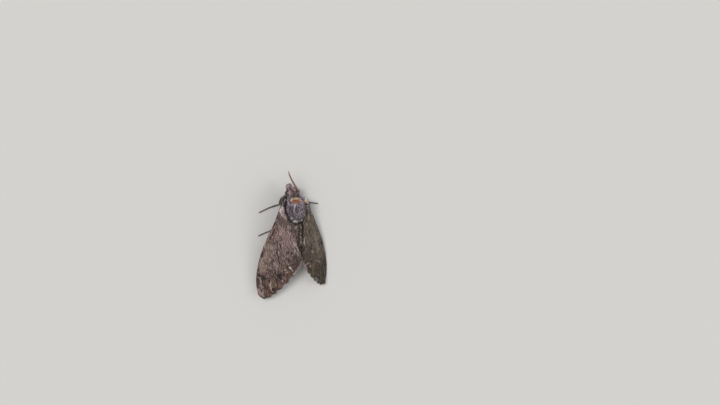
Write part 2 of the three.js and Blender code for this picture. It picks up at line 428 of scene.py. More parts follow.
def coatTree(name, vane, material):
    tree = bpy.data.node_groups.new(name, "GeometryNodeTree")
    sockets = {"skin": "Geometry", **dict.fromkeys(coatUnits, "Float"), "seed": "Int", "where": "String"}
    for label, kind in sockets.items():
        tree.interface.new_socket(label, in_out="INPUT", socket_type="NodeSocket" + kind)
    tree.interface.new_socket("coat", in_out="OUTPUT", socket_type="NodeSocketGeometry")
    given = addNode(tree, "NodeGroupInput", {}, {}).outputs
    held = {label: addNode(tree, "GeometryNodeInputNamedAttribute", {"data_type": kind}, {"Name": label})
            for label, kind in (("coatAmount", "FLOAT"), ("coatLift", "FLOAT"), ("coatSize", "FLOAT"),
                                ("lie", "FLOAT_VECTOR"), ("vanePlace", "FLOAT_VECTOR"),
                                ("rootPlace", "FLOAT_VECTOR"))}

    def chance(low, step):  # a number of its own for each root, from low to 1
        seed = addNode(tree, "ShaderNodeMath", {"operation": "ADD"}, {0: given["seed"], 1: step})
        drawn = addNode(tree, "FunctionNodeRandomValue", {"data_type": "FLOAT"}, {
            "Seed": seed, 2: low, 3: 1.0})
        return drawn.outputs[1]

    def spreadOf(label, step):
        return addNode(tree, "ShaderNodeMath", {"operation": "MULTIPLY"}, {
            0: chance(-1.0, step), 1: given[label]})

    where = addNode(tree, "GeometryNodeInputNamedAttribute", {"data_type": "BOOLEAN"}, {
        "Name": given["where"]})
    roots = addNode(tree, "GeometryNodeDistributePointsOnFaces", {"distribute_method": "POISSON"}, {
        "Mesh": given["skin"], "Selection": where, "Distance Min": given["spacing"],
        "Density Max": given["most"], "Density Factor": held["coatAmount"], "Seed": given["seed"]})
    points = addNode(tree, "GeometryNodeStoreNamedAttribute", {"data_type": "FLOAT", "domain": "POINT"}, {
        "Geometry": roots, "Name": "tuftShade", "Value": chance(0.0, 1)})
    upright = addNode(tree, "FunctionNodeAxesToRotation", {"primary_axis": "Z", "secondary_axis": "Y"}, {
        0: roots.outputs["Normal"], 1: held["lie"]})
    lift = addNode(tree, "ShaderNodeMath", {"operation": "ADD"}, {
        0: given["lift"], 1: spreadOf("liftSpread", 2)})
    lift = addNode(tree, "ShaderNodeMath", {"operation": "ADD"}, {0: lift, 1: held["coatLift"]})
    tilt = addNode(tree, "ShaderNodeCombineXYZ", {}, {"X": lift, "Z": spreadOf("yawSpread", 3)})
    turned = addNode(tree, "FunctionNodeRotateRotation", {"rotation_space": "LOCAL"}, {
        "Rotation": upright, "Rotate By": addNode(tree, "FunctionNodeEulerToRotation", {}, {0: tilt})})
    size = addNode(tree, "ShaderNodeMath", {"operation": "ADD"}, {0: spreadOf("sizeSpread", 4), 1: 1.0})
    size = addNode(tree, "ShaderNodeMath", {"operation": "MULTIPLY"}, {0: size, 1: held["coatSize"]})
    scale = addNode(tree, "ShaderNodeCombineXYZ", {}, {
        "X": given["width"], "Y": given["length"], "Z": given["thickness"]})
    scale = addNode(tree, "ShaderNodeVectorMath", {"operation": "SCALE"}, {0: scale, "Scale": size})
    shape = addNode(tree, "GeometryNodeObjectInfo", {}, {"Object": vane}).outputs["Geometry"]
    laid = addNode(tree, "GeometryNodeInstanceOnPoints", {}, {
        "Points": points, "Instance": shape, "Rotation": turned, "Scale": scale})
    real = addNode(tree, "GeometryNodeRealizeInstances", {}, {"Geometry": laid})
    patch = addNode(tree, "ShaderNodeVectorMath", {"operation": "SCALE"}, {
        0: held["vanePlace"], "Scale": bakePatch})
    spot = addNode(tree, "ShaderNodeVectorMath", {"operation": "ADD"}, {0: held["rootPlace"], 1: patch})
    mapped = addNode(tree, "GeometryNodeStoreNamedAttribute", {"data_type": "FLOAT2", "domain": "CORNER"}, {
        "Geometry": real, "Name": "OFBake", "Value": spot})
    done = addNode(tree, "GeometryNodeSetMaterial", {}, {"Geometry": mapped, "Material": material})
    addNode(tree, "NodeGroupOutput", {}, {0: done})
    return tree


def growCoat(name, skin, tree, where, settings, material):
    # lengths in mm, angles in degrees, spacing is the least distance between two roots in mm
    host = bpy.data.objects.new(name, skin.copy())
    bpy.context.scene.collection.objects.link(host)
    modifier = host.modifiers.new("coat", "NODES")
    modifier.node_group = tree
    values = {label: settings[label] * size for label, size in coatUnits.items()}
    values.update(seed=settings["seed"], where=where)
    for item in tree.interface.items_tree:
        if item.name in values:
            modifier[item.identifier] = values[item.name]
    mesh = plainMesh(host)
    for gone in ("lie", "rootPlace", "coatAmount", "coatSize", "coatLift"):
        mesh.attributes.remove(mesh.attributes[gone])
    flat = readVectors(mesh.vertices, "co").astype(np.float32)
    flat[:, 2] = np.maximum(flat[:, 2], floorGap * mm)
    mesh.vertices.foreach_set("co", flat.ravel())
    mesh.update()
    addPiece(name, mesh, material)
    print(name, len(mesh.polygons), "faces")


def dress(mesh, colours, lie, size, amount, rootPlace=None, lift=0, speckle=0.5):
    count = len(mesh.vertices)
    give(mesh, "coatColour", "FLOAT_COLOR", np.clip(colours, 0.002, 1))
    give(mesh, "lie", "FLOAT_VECTOR", lie)
    if rootPlace is not None:
        give(mesh, "rootPlace", "FLOAT_VECTOR", np.c_[rootPlace, np.zeros(count)])
    for name, value in (("coatSize", size), ("coatAmount", amount), ("coatLift", lift),
                        ("speckle", speckle), ("tuftShade", 0.5)):
        give(mesh, name, "FLOAT", np.broadcast_to(np.asarray(value, float), (count,)))


vane = scaleVane()
tuft = hairTuft()
vaneTree = coatTree("wingScales", vane, wingScale)
furTree = coatTree("furTufts", tuft, furScale)
print("templates and trees ready")

# wings: thin cambered sheets in their own plane, length from the hinge and reach across

wingLength = 55
fanFrom = (-14, -1)  # on the wing's plane, the point that its scales lie away from
veinHalf = 0.28
veinLight = 0.14
wingPaint = {
    "outer": (22, 46),  # mm from the hinge where the outer colours begin and where they are full
    "front": (0.35, 0.05), "frontShare": 0.6,  # the strip along the front edge
    "waver": 0.3, "bandWaver": 0.5,  # mm that the edges of the marks and of the bands wander
    "fine": 0.36, "broad": 0.2,  # strength of the mottling
}
fringeStrip = {"width": 0.35, "inset": 0.05, "roundTip": 2.5, "fan": 0.6}
wingPose = {
    "l": {"side": 1, "hinge": (7.6, -2.2, 12.2), "sweep": 13.4, "roof": 22.7, "droop": 8.2,
          "bend": 0.4, "stretch": 1.0},
    "r": {"side": -1, "hinge": (-7.2, -2.2, 12.2), "sweep": 16.2, "roof": 34.4, "droop": 9.8,
          "bend": 1.7, "stretch": 0.966},
}
foreWing = {
    "from": -1.5, "to": 54.75, "drop": 0, "arch": 0.8, "rings": 190, "rows": 62,
    "front": [(-1.5, -0.4), (0, -1.5), (2, -1.9), (8, -2.5), (18, -4.4), (29, -5.9), (37, -6.0),
              (45, -5.1), (50, -3.5), (53, -1.7), (54.6, 0.2), (55, 1.5)],
    "hind": [(-1.5, 0.6), (0, 1.2), (3, 2.2), (5, 4.4), (6.5, 6.4), (9, 8.3), (14, 10.4), (20, 13.3),
             (26.5, 17.3), (30, 18.0), (36, 16.1), (42, 13.2), (48, 9.5), (52, 6.5), (54.2, 4.2), (55, 2.5)],
    "fringeFrom": 28, "fringe": 0.6, "scallop": 0.5, "half": 0.1, "vein": 0.1,
    "cusps": (26, 32.2, 37.6, 42.2, 46.6, 50.3, 53.0, 54.7),  # where the veins meet the hind edge
    "veins": [
        [(0, -1.2), (15, -3.2), (27, -4.9), (32, -5.8)],
        [(0, -0.8), (12, -1.7), (22, -1.7), (27, -0.9), (42, 0.1), (54.4, 1.7)],
        [(16, -1.9), (28, -3.6), (38, -5.6)],
        [(22, -1.7), (36, -3.5), (46, -4.7)],
        [(27, -1.0), (40, -1.9), (51, -2.8)],
        [(27, -0.9), (25.6, 2.8), (25.4, 6.2)],
        [(26.3, 0.8), (40, 3.0), (53, 5.2)],
        [(25.6, 2.8), (38, 5.6), (50.3, 7.6)],
        [(0, 0), (10, 2.2), (20, 4.6), (25.4, 6.2), (34, 9.8), (42.2, 13.0)],
        [(25.4, 5.8), (37, 8.6), (46.6, 10.4)],
        [(18, 4.2), (27, 9.4), (37.6, 15.3)],
        [(0, 0.4), (10, 5), (20, 9.6), (32.2, 17.2)],
    ],
}
hindWing = {
    "from": 7, "to": 34.8, "drop": 1.05, "arch": 0.8, "rings": 80, "rows": 40,
    "front": [(7, 0.8), (14, -1.2), (22, -2.6), (30, -2.0), (35, 1.2)],
    "hind": [(7, 2.6), (12, 6.2), (18, 9.8), (23, 12.6), (28, 12.0), (33, 6.8), (35, 3.4)],
    "fringeFrom": 21, "fringe": 0.5, "scallop": 0.3, "half": 0.08, "vein": 0.06,
    "cusps": (19, 23.5, 27.5, 31.0, 33.6, 35),
    "veins": [
        [(7, 1.2), (18, -0.6), (33, 0.8)],
        [(7, 1.6), (16, 2.6), (34, 3.2)],
        [(16, 2.8), (31, 7.8)],
        [(14, 3.4), (27.5, 11.0)],
        [(7, 2.0), (14, 5.2), (22.6, 11.8)],
    ],
}
wingPalette = palette(
    dark="#241816", brown="#4a3a35", pale="#a8968f", white="#d8cdc9", pink="#a98a86", rust="#70503f",
    salmon="#98695b", violet="#5f4c63", olive="#665a3f", bark="#6b5644", lilac="#9a8c92", tan="#8d7869")
# painted shade and a painted green reflection: the right wing's darker olive ground, far and front colours
# and its stronger dusk stand for that wing being turned away from the light; the left wing's colours are the
# moth's own
wingLook = {
    "l": {"ground": "#6f5857", "far": "#34241f", "front": "#65514b", "under": "#8a7a70", "mottle": 1.0,
          "bold": 1.15, "dusk": (0.15, 0.25, 0.28)},
    "r": {"ground": "#534a34", "far": "#2a2215", "front": "#4e4638", "under": "#8a7a70", "mottle": 0.8,
          "bold": 1.5, "dusk": (0.32, 0.4, 0.58)},
}
# kind, strength, half width and its course over the wing
bands = [
    ("brown", 0.45, 0.5, [(9.4, -3), (11, 0), (10.4, 4), (12.2, 8)]),
    ("brown", 0.35, 0.35, [(20, -4.7), (22.3, -1.5), (20.6, 2), (22.3, 6), (21, 10), (23.5, 14)]),
    ("pale", 0.3, 0.35, [(21.2, -4.7), (23.3, -1.5), (21.7, 2), (23.4, 6), (22.2, 10), (24.6, 14)]),
    ("brown", 0.4, 0.35, [(31, -6), (34.5, -2), (33.8, 2), (32.3, 6), (33, 10), (31, 14), (30.5, 17)]),
    ("pale", 0.25, 0.35, [(32.2, -6), (35.6, -2), (35, 2), (33.6, 6), (34.2, 10), (32.2, 14)]),
    ("brown", 0.35, 0.45, [(40.5, -5.5), (43.6, -1), (41.8, 4), (38.6, 8.5), (36.3, 12), (32.5, 16)]),
]
# kind, sign, size and strength of the flecks strewn between the marks
flecks = [("dark", 1, 0.75, 0.75), ("pale", -1, 0.7, 0.7), ("dark", 1, 1.3, 0.25), ("tan", -1, 2.1, 0.25)]
streaks = [("dark", 1, 0.8), ("pale", -1, 0.5)]  # kind, sign and strength of the fine lines along the veins
leftMarks = [
    ("white", 0.9, 1.0, [(0.2, -1.0), (1.8, -0.4), (3.2, 0.5)]),
    ("pale", 0.6, 0.8, [(3.4, 0.6), (5, 2.0)]),
    ("brown", 0.4, 0.2, [(0.8, -0.9), (2.6, 0.1)]),
    # painted shade: these two dark lines at the wing's base stand for the shadow in the gap between the wing
    # and the body
    ("dark", 1.0, 0.55, [(5.6, 4.2), (6.8, 5.8), (7.3, 8.0), (7.1, 10.0)]),
    ("dark", 0.9, 0.5, [(-1.5, -0.9), (0.5, -1.9), (3.4, -2.4)]),
    ("brown", 0.6, 1.6, [(5.8, -1.6), (7, 0.2), (8, 3.6)]),
    ("dark", 0.6, 0.45, [(6.3, -1.8)]),
    ("dark", 0.6, 0.4, [(8.6, -1.4)]),
    ("dark", 0.5, 0.5, [(7.2, 1.6)]),
    ("dark", 0.7, 0.8, [(9.2, -2.9), (11.5, -3.0)]),
    ("rust", 0.35, 1.3, [(12, -1.8), (16, -1.2), (20, -2.4)]),
    ("dark", 0.95, 0.36, [(13.2, -1.7), (16, -2.2), (19.4, -3.1)]),
    ("pink", 0.45, 0.75, [(11.2, 0.8), (13, 1.6), (15.8, 2.3)]),
    ("dark", 0.5, 0.3, [(11.4, -0.6), (13.5, 0.6)]),
    ("bark", 0.7, 0.9, [(20.6, -1.8), (22, -1.2)]),
    ("dark", 0.6, 0.3, [(21.4, -2.6), (22, -1.4), (21.2, -0.6)]),
    ("tan", 0.3, 2.4, [(23.5, -1.2), (31, -2.5)]),
    ("dark", 0.85, 0.34, [(24.5, 1.8), (27.5, 3.2), (30.5, 4.6)]),
    ("dark", 0.7, 0.3, [(21.6, 3.4), (25, 5.3)]),
    ("dark", 0.5, 0.4, [(18.2, 3.1), (19, 3.6)]),
    ("dark", 0.5, 0.3, [(19.8, 1.2), (23, 2.0)]),
    ("pink", 0.2, 1.8, [(15, 5.5), (21, 7)]),
    ("dark", 0.5, 0.6, [(6, 4.6), (9, 7.2), (13, 9.2)]),
    ("pale", 0.85, 0.7, [(18.4, 10.6), (20.2, 11.5)]),
    ("pale", 0.8, 0.28, [(18.6, 11), (21.2, 13), (23.8, 15)]),
    ("pale", 0.75, 0.28, [(21, 11), (23.5, 13.2), (25.6, 15.2)]),
    ("dark", 0.75, 0.28, [(20.4, 11.6), (22.6, 13.3), (24.8, 15.3)]),
    ("dark", 0.75, 0.75, [(24.7, 11.2)]),
    ("dark", 0.7, 0.7, [(26.6, 13.6)]),
    ("dark", 0.6, 0.9, [(28.6, 15.2), (31, 15.8)]),
    ("dark", 0.5, 0.6, [(25.2, 8.5)]),
    ("dark", 0.6, 0.5, [(29, 9.5), (29.8, 11)]),
    ("dark", 0.55, 0.4, [(31, 13), (32, 14.4)]),
    ("pale", 0.5, 0.28, [(27.5, 10.8), (28.2, 12.6)]),
    ("dark", 0.75, 0.9, [(28.4, -5.0), (30.4, -5.2)]),
    ("pale", 0.6, 0.3, [(31.5, -4.3), (35, -4.6), (38.5, -4.4)]),
    ("tan", 0.6, 1.2, [(35.5, -3.0), (38.5, -2.8)]),
    ("lilac", 0.45, 0.9, [(33, 3.2), (34.2, 4.4)]),
    ("dark", 0.5, 0.4, [(34.6, 0.5), (35.2, 2.0)]),
    ("bark", 0.3, 1.5, [(32.5, 8), (36, 8.5)]),
    ("dark", 0.85, 0.55, [(41.8, -4.6), (42.2, -2.6), (42.6, -0.8)]),
    ("dark", 0.85, 0.4, [(41.6, -1.4), (44.5, -0.2), (48, 1.0)]),
    ("pale", 0.8, 0.3, [(43.4, -3.2), (46, -1.9), (48.6, -0.6)]),
    ("dark", 0.7, 0.3, [(43.6, -2.4), (47.6, -0.8)]),
    ("dark", 0.5, 0.45, [(44.5, -4.3), (49, -2.8)]),
    ("pink", 0.6, 0.9, [(50.2, -2.2), (52.6, -0.9)]),
    ("pale", 0.6, 0.45, [(50.6, 0.2), (52.2, 0.3), (53.4, 1.0)]),
    ("rust", 0.38, 1.3, [(44.5, 0.9), (49, 2.8), (51.4, 4.2)]),
    ("dark", 0.8, 0.25, [(47.8, 1.9), (49.6, 3.4), (50.3, 5.2)]),
    ("dark", 0.5, 0.25, [(45.6, 1.4), (47.4, 2.2)]),
    ("white", 0.6, 0.2, [(43.6, 2.9), (45.6, 3.2), (47.6, 4.2)]),
    ("bark", 0.6, 1.3, [(42.4, 4.4), (46, 5.6)]),
    ("dark", 0.55, 0.28, [(40.6, 4.6), (42, 6.2), (44.5, 7.3)]),
    ("dark", 0.85, 0.85, [(38.8, 6.6), (40.6, 7.8)]),
    ("violet", 0.45, 0.7, [(42.4, 8.3)]),
    ("brown", 0.5, 2.2, [(27.5, 13.5), (31, 15.5), (35, 13.4)]),
    ("salmon", 0.22, 0.8, [(41.5, 10.8), (44.5, 9.8), (46, 8.8)]),
    ("white", 0.9, 0.3, [(42, 9.5)]),
    ("white", 0.85, 0.33, [(35.2, 9.5)]),
    ("pale", 0.8, 0.33, [(37, 10.3)]),
    ("white", 0.8, 0.33, [(33.1, 11.6), (33.9, 12.6)]),
    ("pale", 0.6, 0.3, [(33.9, 12.6), (35, 13.8)]),
    ("bark", 0.5, 0.8, [(36.6, 12), (38, 12.4)]),
    ("pale", 0.7, 0.35, [(31.6, 17.0), (34.4, 16.2), (36.6, 14.8)]),
]
rightMarks = [
    ("white", 0.6, 0.8, [(0.4, -0.8), (2.4, 0.2)]),
    ("lilac", 0.5, 0.45, [(2.4, -1.2), (7.2, -1.7)]),
    ("dark", 0.6, 0.5, [(3, 1.6), (6.4, 4.2), (8, 6)]),
    ("dark", 0.5, 0.4, [(5, -0.4), (9, 0.5)]),
    ("pale", 0.4, 0.35, [(6.2, 1.8), (9.4, 3.4)]),
    ("olive", 0.3, 2.2, [(8, 1.5), (20, 3.4)]),
    ("tan", 0.35, 1.6, [(20, 1), (31, 1.5)]),
    ("pink", 0.2, 0.7, [(9.6, -1.2), (12, -1.6)]),
    ("dark", 0.5, 0.5, [(9.8, -2.4), (14, -3.0)]),
    ("dark", 0.55, 0.5, [(14.6, 3.2), (15, 4.8), (15.6, 5.8)]),
    ("dark", 0.75, 0.8, [(28.2, -4.8), (30.2, -4.2)]),
    ("dark", 0.7, 0.45, [(29.8, -4.4), (28.6, -2.6), (28.8, -0.6)]),
    ("brown", 0.35, 2.4, [(25, 11), (30, 12.5)]),
    ("dark", 0.6, 0.85, [(23.6, 6.8), (25.8, 8)]),
    ("pale", 0.65, 0.42, [(27.4, 7.7), (28.6, 7.4)]),
    ("dark", 0.5, 0.45, [(26.2, 9.8)]),
    ("tan", 0.4, 0.5, [(34.6, 7), (36.4, 4.6), (38.8, 2.4)]),
    ("dark", 0.75, 1.0, [(39.6, -3.4), (44, -2.6)]),
    ("dark", 0.8, 0.5, [(41, -1.6), (42.2, 0.8), (43.6, 2.0), (46.2, 2.8)]),
    ("dark", 0.55, 0.9, [(45, -3.5), (50, -1.6)]),
    ("dark", 0.65, 0.5, [(50, 1.2)]),
    ("dark", 0.6, 0.5, [(52.4, 1.6)]),
    ("olive", 0.5, 1.6, [(37, 9.5), (41, 10.2)]),
    ("dark", 0.5, 0.6, [(38, 8.2), (41, 9.2)]),
    ("dark", 0.5, 0.5, [(32.4, 11)]),
    ("pale", 0.65, 0.33, [(34.6, 11.8), (35.6, 12.4)]),
    ("pale", 0.55, 0.4, [(32, 13.4), (31.8, 15.2)]),
    ("pale", 0.5, 0.6, [(31.5, 16.8), (34.5, 15.6)]),
    ("lilac", 0.35, 0.6, [(45.5, 9.3), (49, 7)]),
    ("pale", 0.65, 0.35, [(16.6, 11.0), (18.5, 12.0)]),
    ("pale", 0.5, 0.3, [(18.5, 12.0), (21.5, 13.5)]),
    ("dark", 0.6, 0.5, [(20.5, 13), (24, 15), (26.5, 16.4)]),
]
hindMarks = [
    ("pale", 0.5, 1.2, [(14, 1), (24, 2), (33, 2)]),
    ("dark", 0.6, 1.0, [(24, -2), (25, 4), (21, 9)]),
    ("pink", 0.4, 1.2, [(12, 5), (20, 9)]),
]


def wingTurn(pose):
    angles = (pose["side"] * math.radians(pose["roof"]), math.radians(pose["droop"]),
              math.pi / 2 - pose["side"] * math.radians(pose["sweep"]))
    return np.array(Euler(angles).to_matrix())


def wingPlace(pose, plan, length, reach, across, height):
    share = np.maximum(0, length) / wingLength
    arch = plan["arch"] * np.sin(np.pi * across) * np.minimum(1, 3 * share)
    rise = arch - pose["bend"] * share**3 - plan["drop"] + height
    local = np.stack([length * pose["stretch"], pose["side"] * reach, rise], -1)
    return local @ wingTurn(pose).T + pose["hinge"]


def betweenVeins(plan, length):  # 0 at the end of each vein on the hind edge, 1 half way to the next
    return np.sin(np.pi * (np.interp(length, plan["cusps"], np.arange(len(plan["cusps"]))) % 1))


def wingEdges(plan, length):
    front = readRows(plan["front"], length)[:, 0] + 0.08
    hind = readRows(plan["hind"], length)[:, 0]
    outer = smoothStep(plan["fringeFrom"] - 2, plan["fringeFrom"] + 3, length)
    return front, hind - outer * (plan["fringe"] + plan["scallop"] * betweenVeins(plan, length)) - 0.05


def ridges(plan, flat):  # how near a place on the wing is to a vein
    return np.max([nearness(flat, line, veinHalf) for line in plan["veins"]], axis=0)


def wingLie(pose, ways):  # directions on the wing's plane, turned with the wing
    return np.c_[ways[:, 0], pose["side"] * ways[:, 1], 0 * ways[:, 0]] @ wingTurn(pose).T


def wingColours(plan, flat, across, look, marks, upper=True):
    shaky = flat + wingPaint["waver"] * np.c_[wobble(flat, 2.0, 1), wobble(flat, 2.0, 2)]
    ground, far, front, under = (linear(look[key]) for key in ("ground", "far", "front", "under"))
    outward = smoothStep(*wingPaint["outer"], flat[:, 0] + 0.5 * np.maximum(0, flat[:, 1]))[:, None]
    if upper:
        colours = ground + outward * (far - ground)
        tint(colours, wingPaint["frontShare"] * smoothStep(*wingPaint["front"], across), front)
        if plan is foreWing:
            wander = wingPaint["bandWaver"] * np.c_[wobble(flat, 1.1, 3), 0 * across]
            paint(colours, shaky + wander, bands, wingPalette)
        fine, broad = wobble(flat * (0.6, 1.3), 0.8, 4), wobble(flat * (0.8, 1.2), 2.4, 5)
        mottling = wingPaint["fine"] * fine + wingPaint["broad"] * broad
        colours *= (1 + look["mottle"] * mottling)[:, None]
        for kind, sign, size, weight in flecks:
            speck = sign * wobble(flat * (0.75, 1.5), size, 6 + weight)
            tint(colours, look["mottle"] * weight * smoothStep(0.12, 0.6, speck), wingPalette[kind])
        slant = np.c_[0.22 * flat[:, 0], flat[:, 1] - 0.42 * flat[:, 0]]
        for kind, sign, weight in streaks:
            streak = smoothStep(0.15, 0.6, sign * wobble(slant, 0.52, 9))
            tint(colours, look["mottle"] * weight * streak, wingPalette[kind])
        colours *= 1 - outward * look["dusk"]  # the outer part is darker and warmer; on the right wing this darkening is stronger and holds painted shade and a painted green reflection
        strength = look["bold"]
    else:
        colours = under + outward * 0.3 * (far - under)
        marks, strength = bands, 0.5
    marks = [(kind, min(1, strength * share), *rest) for kind, share, *rest in marks]
    paint(colours, shaky, marks, wingPalette)
    return colours * (1 + veinLight * ridges(plan, flat)[:, None])


def wingSkin(name, plan, pose, look, marks):
    rings, rows = plan["rings"], plan["rows"]
    steps = np.linspace(0, 1, rings)
    lengths = plan["from"] + (plan["to"] - plan["from"]) * (0.55 * steps + 0.45 * np.sin(np.pi * steps / 2))
    front, hind = wingEdges(plan, lengths)
    across = np.linspace(0, 1, rows)
    flat = np.c_[np.repeat(lengths, rows), (front[:, None] + (hind - front)[:, None] * across).ravel()]
    spread = np.tile(across, rings)
    inside = np.minimum(spread, 1 - spread) * np.repeat(hind - front, rows)
    half = plan["half"] * (0.35 + 0.65 * smoothStep(0, 0.8, inside))
    half = half + 0.12 * np.exp(-((spread / 0.05) ** 2)) * np.clip(1 - flat[:, 0] / 60, 0, 1)  # stiff front
    vein = ridges(plan, flat) * plan["vein"]
    top, bottom = (wingPlace(pose, plan, *flat.T, spread, height)
                   for height in (half + vein, -half - 0.5 * vein))
    cell = np.arange((rings - 1) * rows).reshape(rings - 1, rows)[:, :-1].ravel()
    quads = np.c_[cell, cell + 1, cell + rows + 1, cell + rows]
    count = rings * rows
    edge = [*range(rows), *range(2 * rows - 1, count, rows), *range(count - 2, count - rows - 1, -1),
            *range(count - 2 * rows, 0, -rows)]
    rim = [[a, b, b + count, a + count] for a, b in zip(edge, edge[1:] + edge[:1])]
    faces = quads.tolist() + (quads[:, ::-1] + count).tolist() + rim
    mesh = makeMesh(name, np.r_[top, bottom], faces)
    colours = np.r_[wingColours(plan, flat, spread, look, marks),
                    wingColours(plan, flat, spread, look, marks, upper=False)]
    both = np.r_[flat, flat]
    place = 0.02 + 0.96 * (both - flat.min(0)) / (flat.max(0) - flat.min(0))
    size = 0.55 + 0.45 * smoothStep(0, 9, both[:, 0])
    edgeRoom = smoothStep(0.0, 0.3, np.r_[inside, inside])
    dress(mesh, colours, wingLie(pose, unit(both - fanFrom)), size, 0.6 + 0.4 * edgeRoom, place, speckle=0.8)
    index = np.arange(len(faces))
    give(mesh, "upperSide", "BOOLEAN", index < len(quads), "FACE")
    give(mesh, "underSide", "BOOLEAN", (index >= len(quads)) & (index < 2 * len(quads)), "FACE")
    return mesh


def fringeSkin(name, plan, pose, look, marks):  # a narrow strip along the outer edge, for its fringe
    length = np.linspace(plan["fringeFrom"], plan["to"], 240)
    edge = np.c_[length, wingEdges(plan, length)[1] - fringeStrip["inset"]]
    if plan is foreWing:  # round the tip and a little way along the front
        back = np.linspace(plan["to"], plan["to"] - fringeStrip["roundTip"], 30)[1:]
        edge = np.r_[edge, np.c_[back, wingEdges(plan, back)[0] + fringeStrip["inset"]]]
    way = unit(np.gradient(edge, axis=0))
    out = np.c_[-way[:, 1], way[:, 0]]
    aim = unit(out + fringeStrip["fan"] * unit(edge - fanFrom))
    flat = np.r_[edge, edge - fringeStrip["width"] * out]
    front, hind = wingEdges(plan, flat[:, 0])
    across = np.clip((flat[:, 1] - front) / np.maximum(hind - front, 0.1), 0, 1)
    n = len(edge)
    faces = [[i, i + 1, n + i + 1, n + i] for i in range(n - 1)]
    mesh = makeMesh(name, wingPlace(pose, plan, *flat.T, across, 0.03), faces)
    if normalsOf(mesh).mean(0) @ wingTurn(pose)[:, 2] < 0:
        mesh.flip_normals()
    colours = 0.8 * wingColours(plan, flat, across, look, marks)
    white = smoothStep(0.45, 0.85, betweenVeins(plan, flat[:, 0])) * (0.5 if plan is foreWing else 0.4)
    tint(colours, white, linear("#b0a298"))
    place = np.c_[np.linspace(0.02, 0.98, n), np.full(n, 0.9)]
    dress(mesh, colours, wingLie(pose, np.r_[aim, aim]), 1.0, 1.0, np.r_[place, place - (0, 0.8)])
    give(mesh, "everywhere", "BOOLEAN", np.ones(len(faces), bool), "FACE")
    return mesh


wingCoat = {
    "upper": {"spacing": 0.105, "most": 170, "length": 0.5, "width": 0.27, "thickness": 0.2, "lift": 5,
              "liftSpread": 5, "yawSpread": 16, "sizeSpread": 0.25, "seed": 11},
    "under": {"spacing": 0.15, "most": 90, "length": 0.6, "width": 0.34, "thickness": 0.2, "lift": 4,
              "liftSpread": 3, "yawSpread": 12, "sizeSpread": 0.2, "seed": 12},
    "hind": {"spacing": 0.15, "most": 90, "length": 0.62, "width": 0.34, "thickness": 0.2, "lift": 5,
             "liftSpread": 4, "yawSpread": 14, "sizeSpread": 0.2, "seed": 13},
    "fringe": {"spacing": 0.07, "most": 400, "length": 0.95, "width": 0.19, "thickness": 0.2, "lift": 0,
               "liftSpread": 6, "yawSpread": 14, "sizeSpread": 0.2, "seed": 14},
}

for key, side, foreMarks in (("l", "Left", leftMarks), ("r", "Right", rightMarks)):
    for plan, wing, slot, marks in ((foreWing, "foreWing", "forewing", foreMarks),
                                    (hindWing, "hindWing", "hindwing", hindMarks)):
        skin = wingSkin(wing + side, plan, wingPose[key], wingLook[key], marks)
        strip = fringeSkin(wing + "Edge", plan, wingPose[key], wingLook[key], marks)
        upper, under = ("upper", "under") if plan is foreWing else ("hind", "hind")
        growCoat(wing + "Upper" + side, skin, vaneTree, "upperSide", wingCoat[upper], wingScale)
        growCoat(wing + "Under" + side, skin, vaneTree, "underSide", wingCoat[under], wingScale)
        growCoat(wing + "Fringe" + side, strip, vaneTree, "everywhere", wingCoat["fringe"], wingScale)
        addPiece(wing + "Skin" + side, skin, wingSkinFinish, [slot + "_" + key])
print("wings done")

# body: one skin over trunk, head, palps and legs, inside their solids by the depth of the coat

# each section: its place along the line of its zone, and the half width and half height there
trunkSections = [(0, 4.3, 4.2), (0.14, 5.5, 5.3), (0.32, 6.4, 6.1), (0.56, 6.6, 6.3), (0.8, 6.0, 5.6),
                 (0.93, 5.0, 4.7), (1, 4.0, 3.9)]
abdomenSections = [(0, 3.9, 3.6), (0.12, 4.6, 4.0), (0.4, 4.7, 4.0), (0.7, 3.8, 3.3), (0.9, 2.3, 2.1),
                   (1, 0.9, 0.9)]
headSections = [(0, 3.2, 3.2), (0.25, 3.75, 3.8), (0.55, 2.95, 3.5), (0.82, 1.9, 2.6), (1, 1.1, 1.5)]
palpSections = [(0, 0.7, 0.9), (0.35, 0.85, 1.4), (0.75, 0.75, 1.2), (1, 0.5, 0.6)]
tegulaSections = [(0, 0.5, 0.4), (0.3, 1.0, 0.6), (0.7, 1.1, 0.6), (1, 0.6, 0.35)]
legSections = {
    "femur": [(0, 0.75, 0.8), (0.3, 1.0, 1.1), (0.8, 0.8, 0.85), (1, 0.55, 0.55)],
    "tibia": [(0, 0.5, 0.5), (0.15, 0.75, 0.75), (0.8, 0.65, 0.65), (1, 0.5, 0.5)],
    "tarsus": [(0, 0.42, 0.42), (0.2, 0.48, 0.45), (0.8, 0.46, 0.42), (1, 0.42, 0.4)],
}
legTurns = {  # where each leg leaves the body, its knee, ankle and toe
    "fore_l": [(2.4, -3.0, 7.0), (4.9, -6.3, 5.6), (5.4, -1.4, 1.8), (17.0, 1.9, 0.4)],
    "fore_r": [(-2.4, -3.0, 7.0), (-5.1, -6.3, 5.6), (-6.6, -1.2, 1.8), (-18.9, 1.8, 0.4)],
    "middle_l": [(3.0, 1.2, 7.0), (8.6, 4.8, 6.2), (8.3, 13.0, 2.0), (18.1, 15.4, 0.4)],
    "middle_r": [(-3.0, 1.2, 7.0), (-8.4, 4.8, 6.2), (-7.2, 13.2, 2.0), (-16.4, 16.4, 0.4)],
    "hind_l": [(2.4, 4.2, 7.6), (5.6, 13.0, 5.2), (8.6, 25.8, 2.2), (11.4, 39.0, 0.4)],
    "hind_r": [(-2.4, 4.2, 7.6), (-7.4, 13.0, 5.0), (-9.8, 25.6, 2.2), (-10.4, 39.2, 0.4)],
}
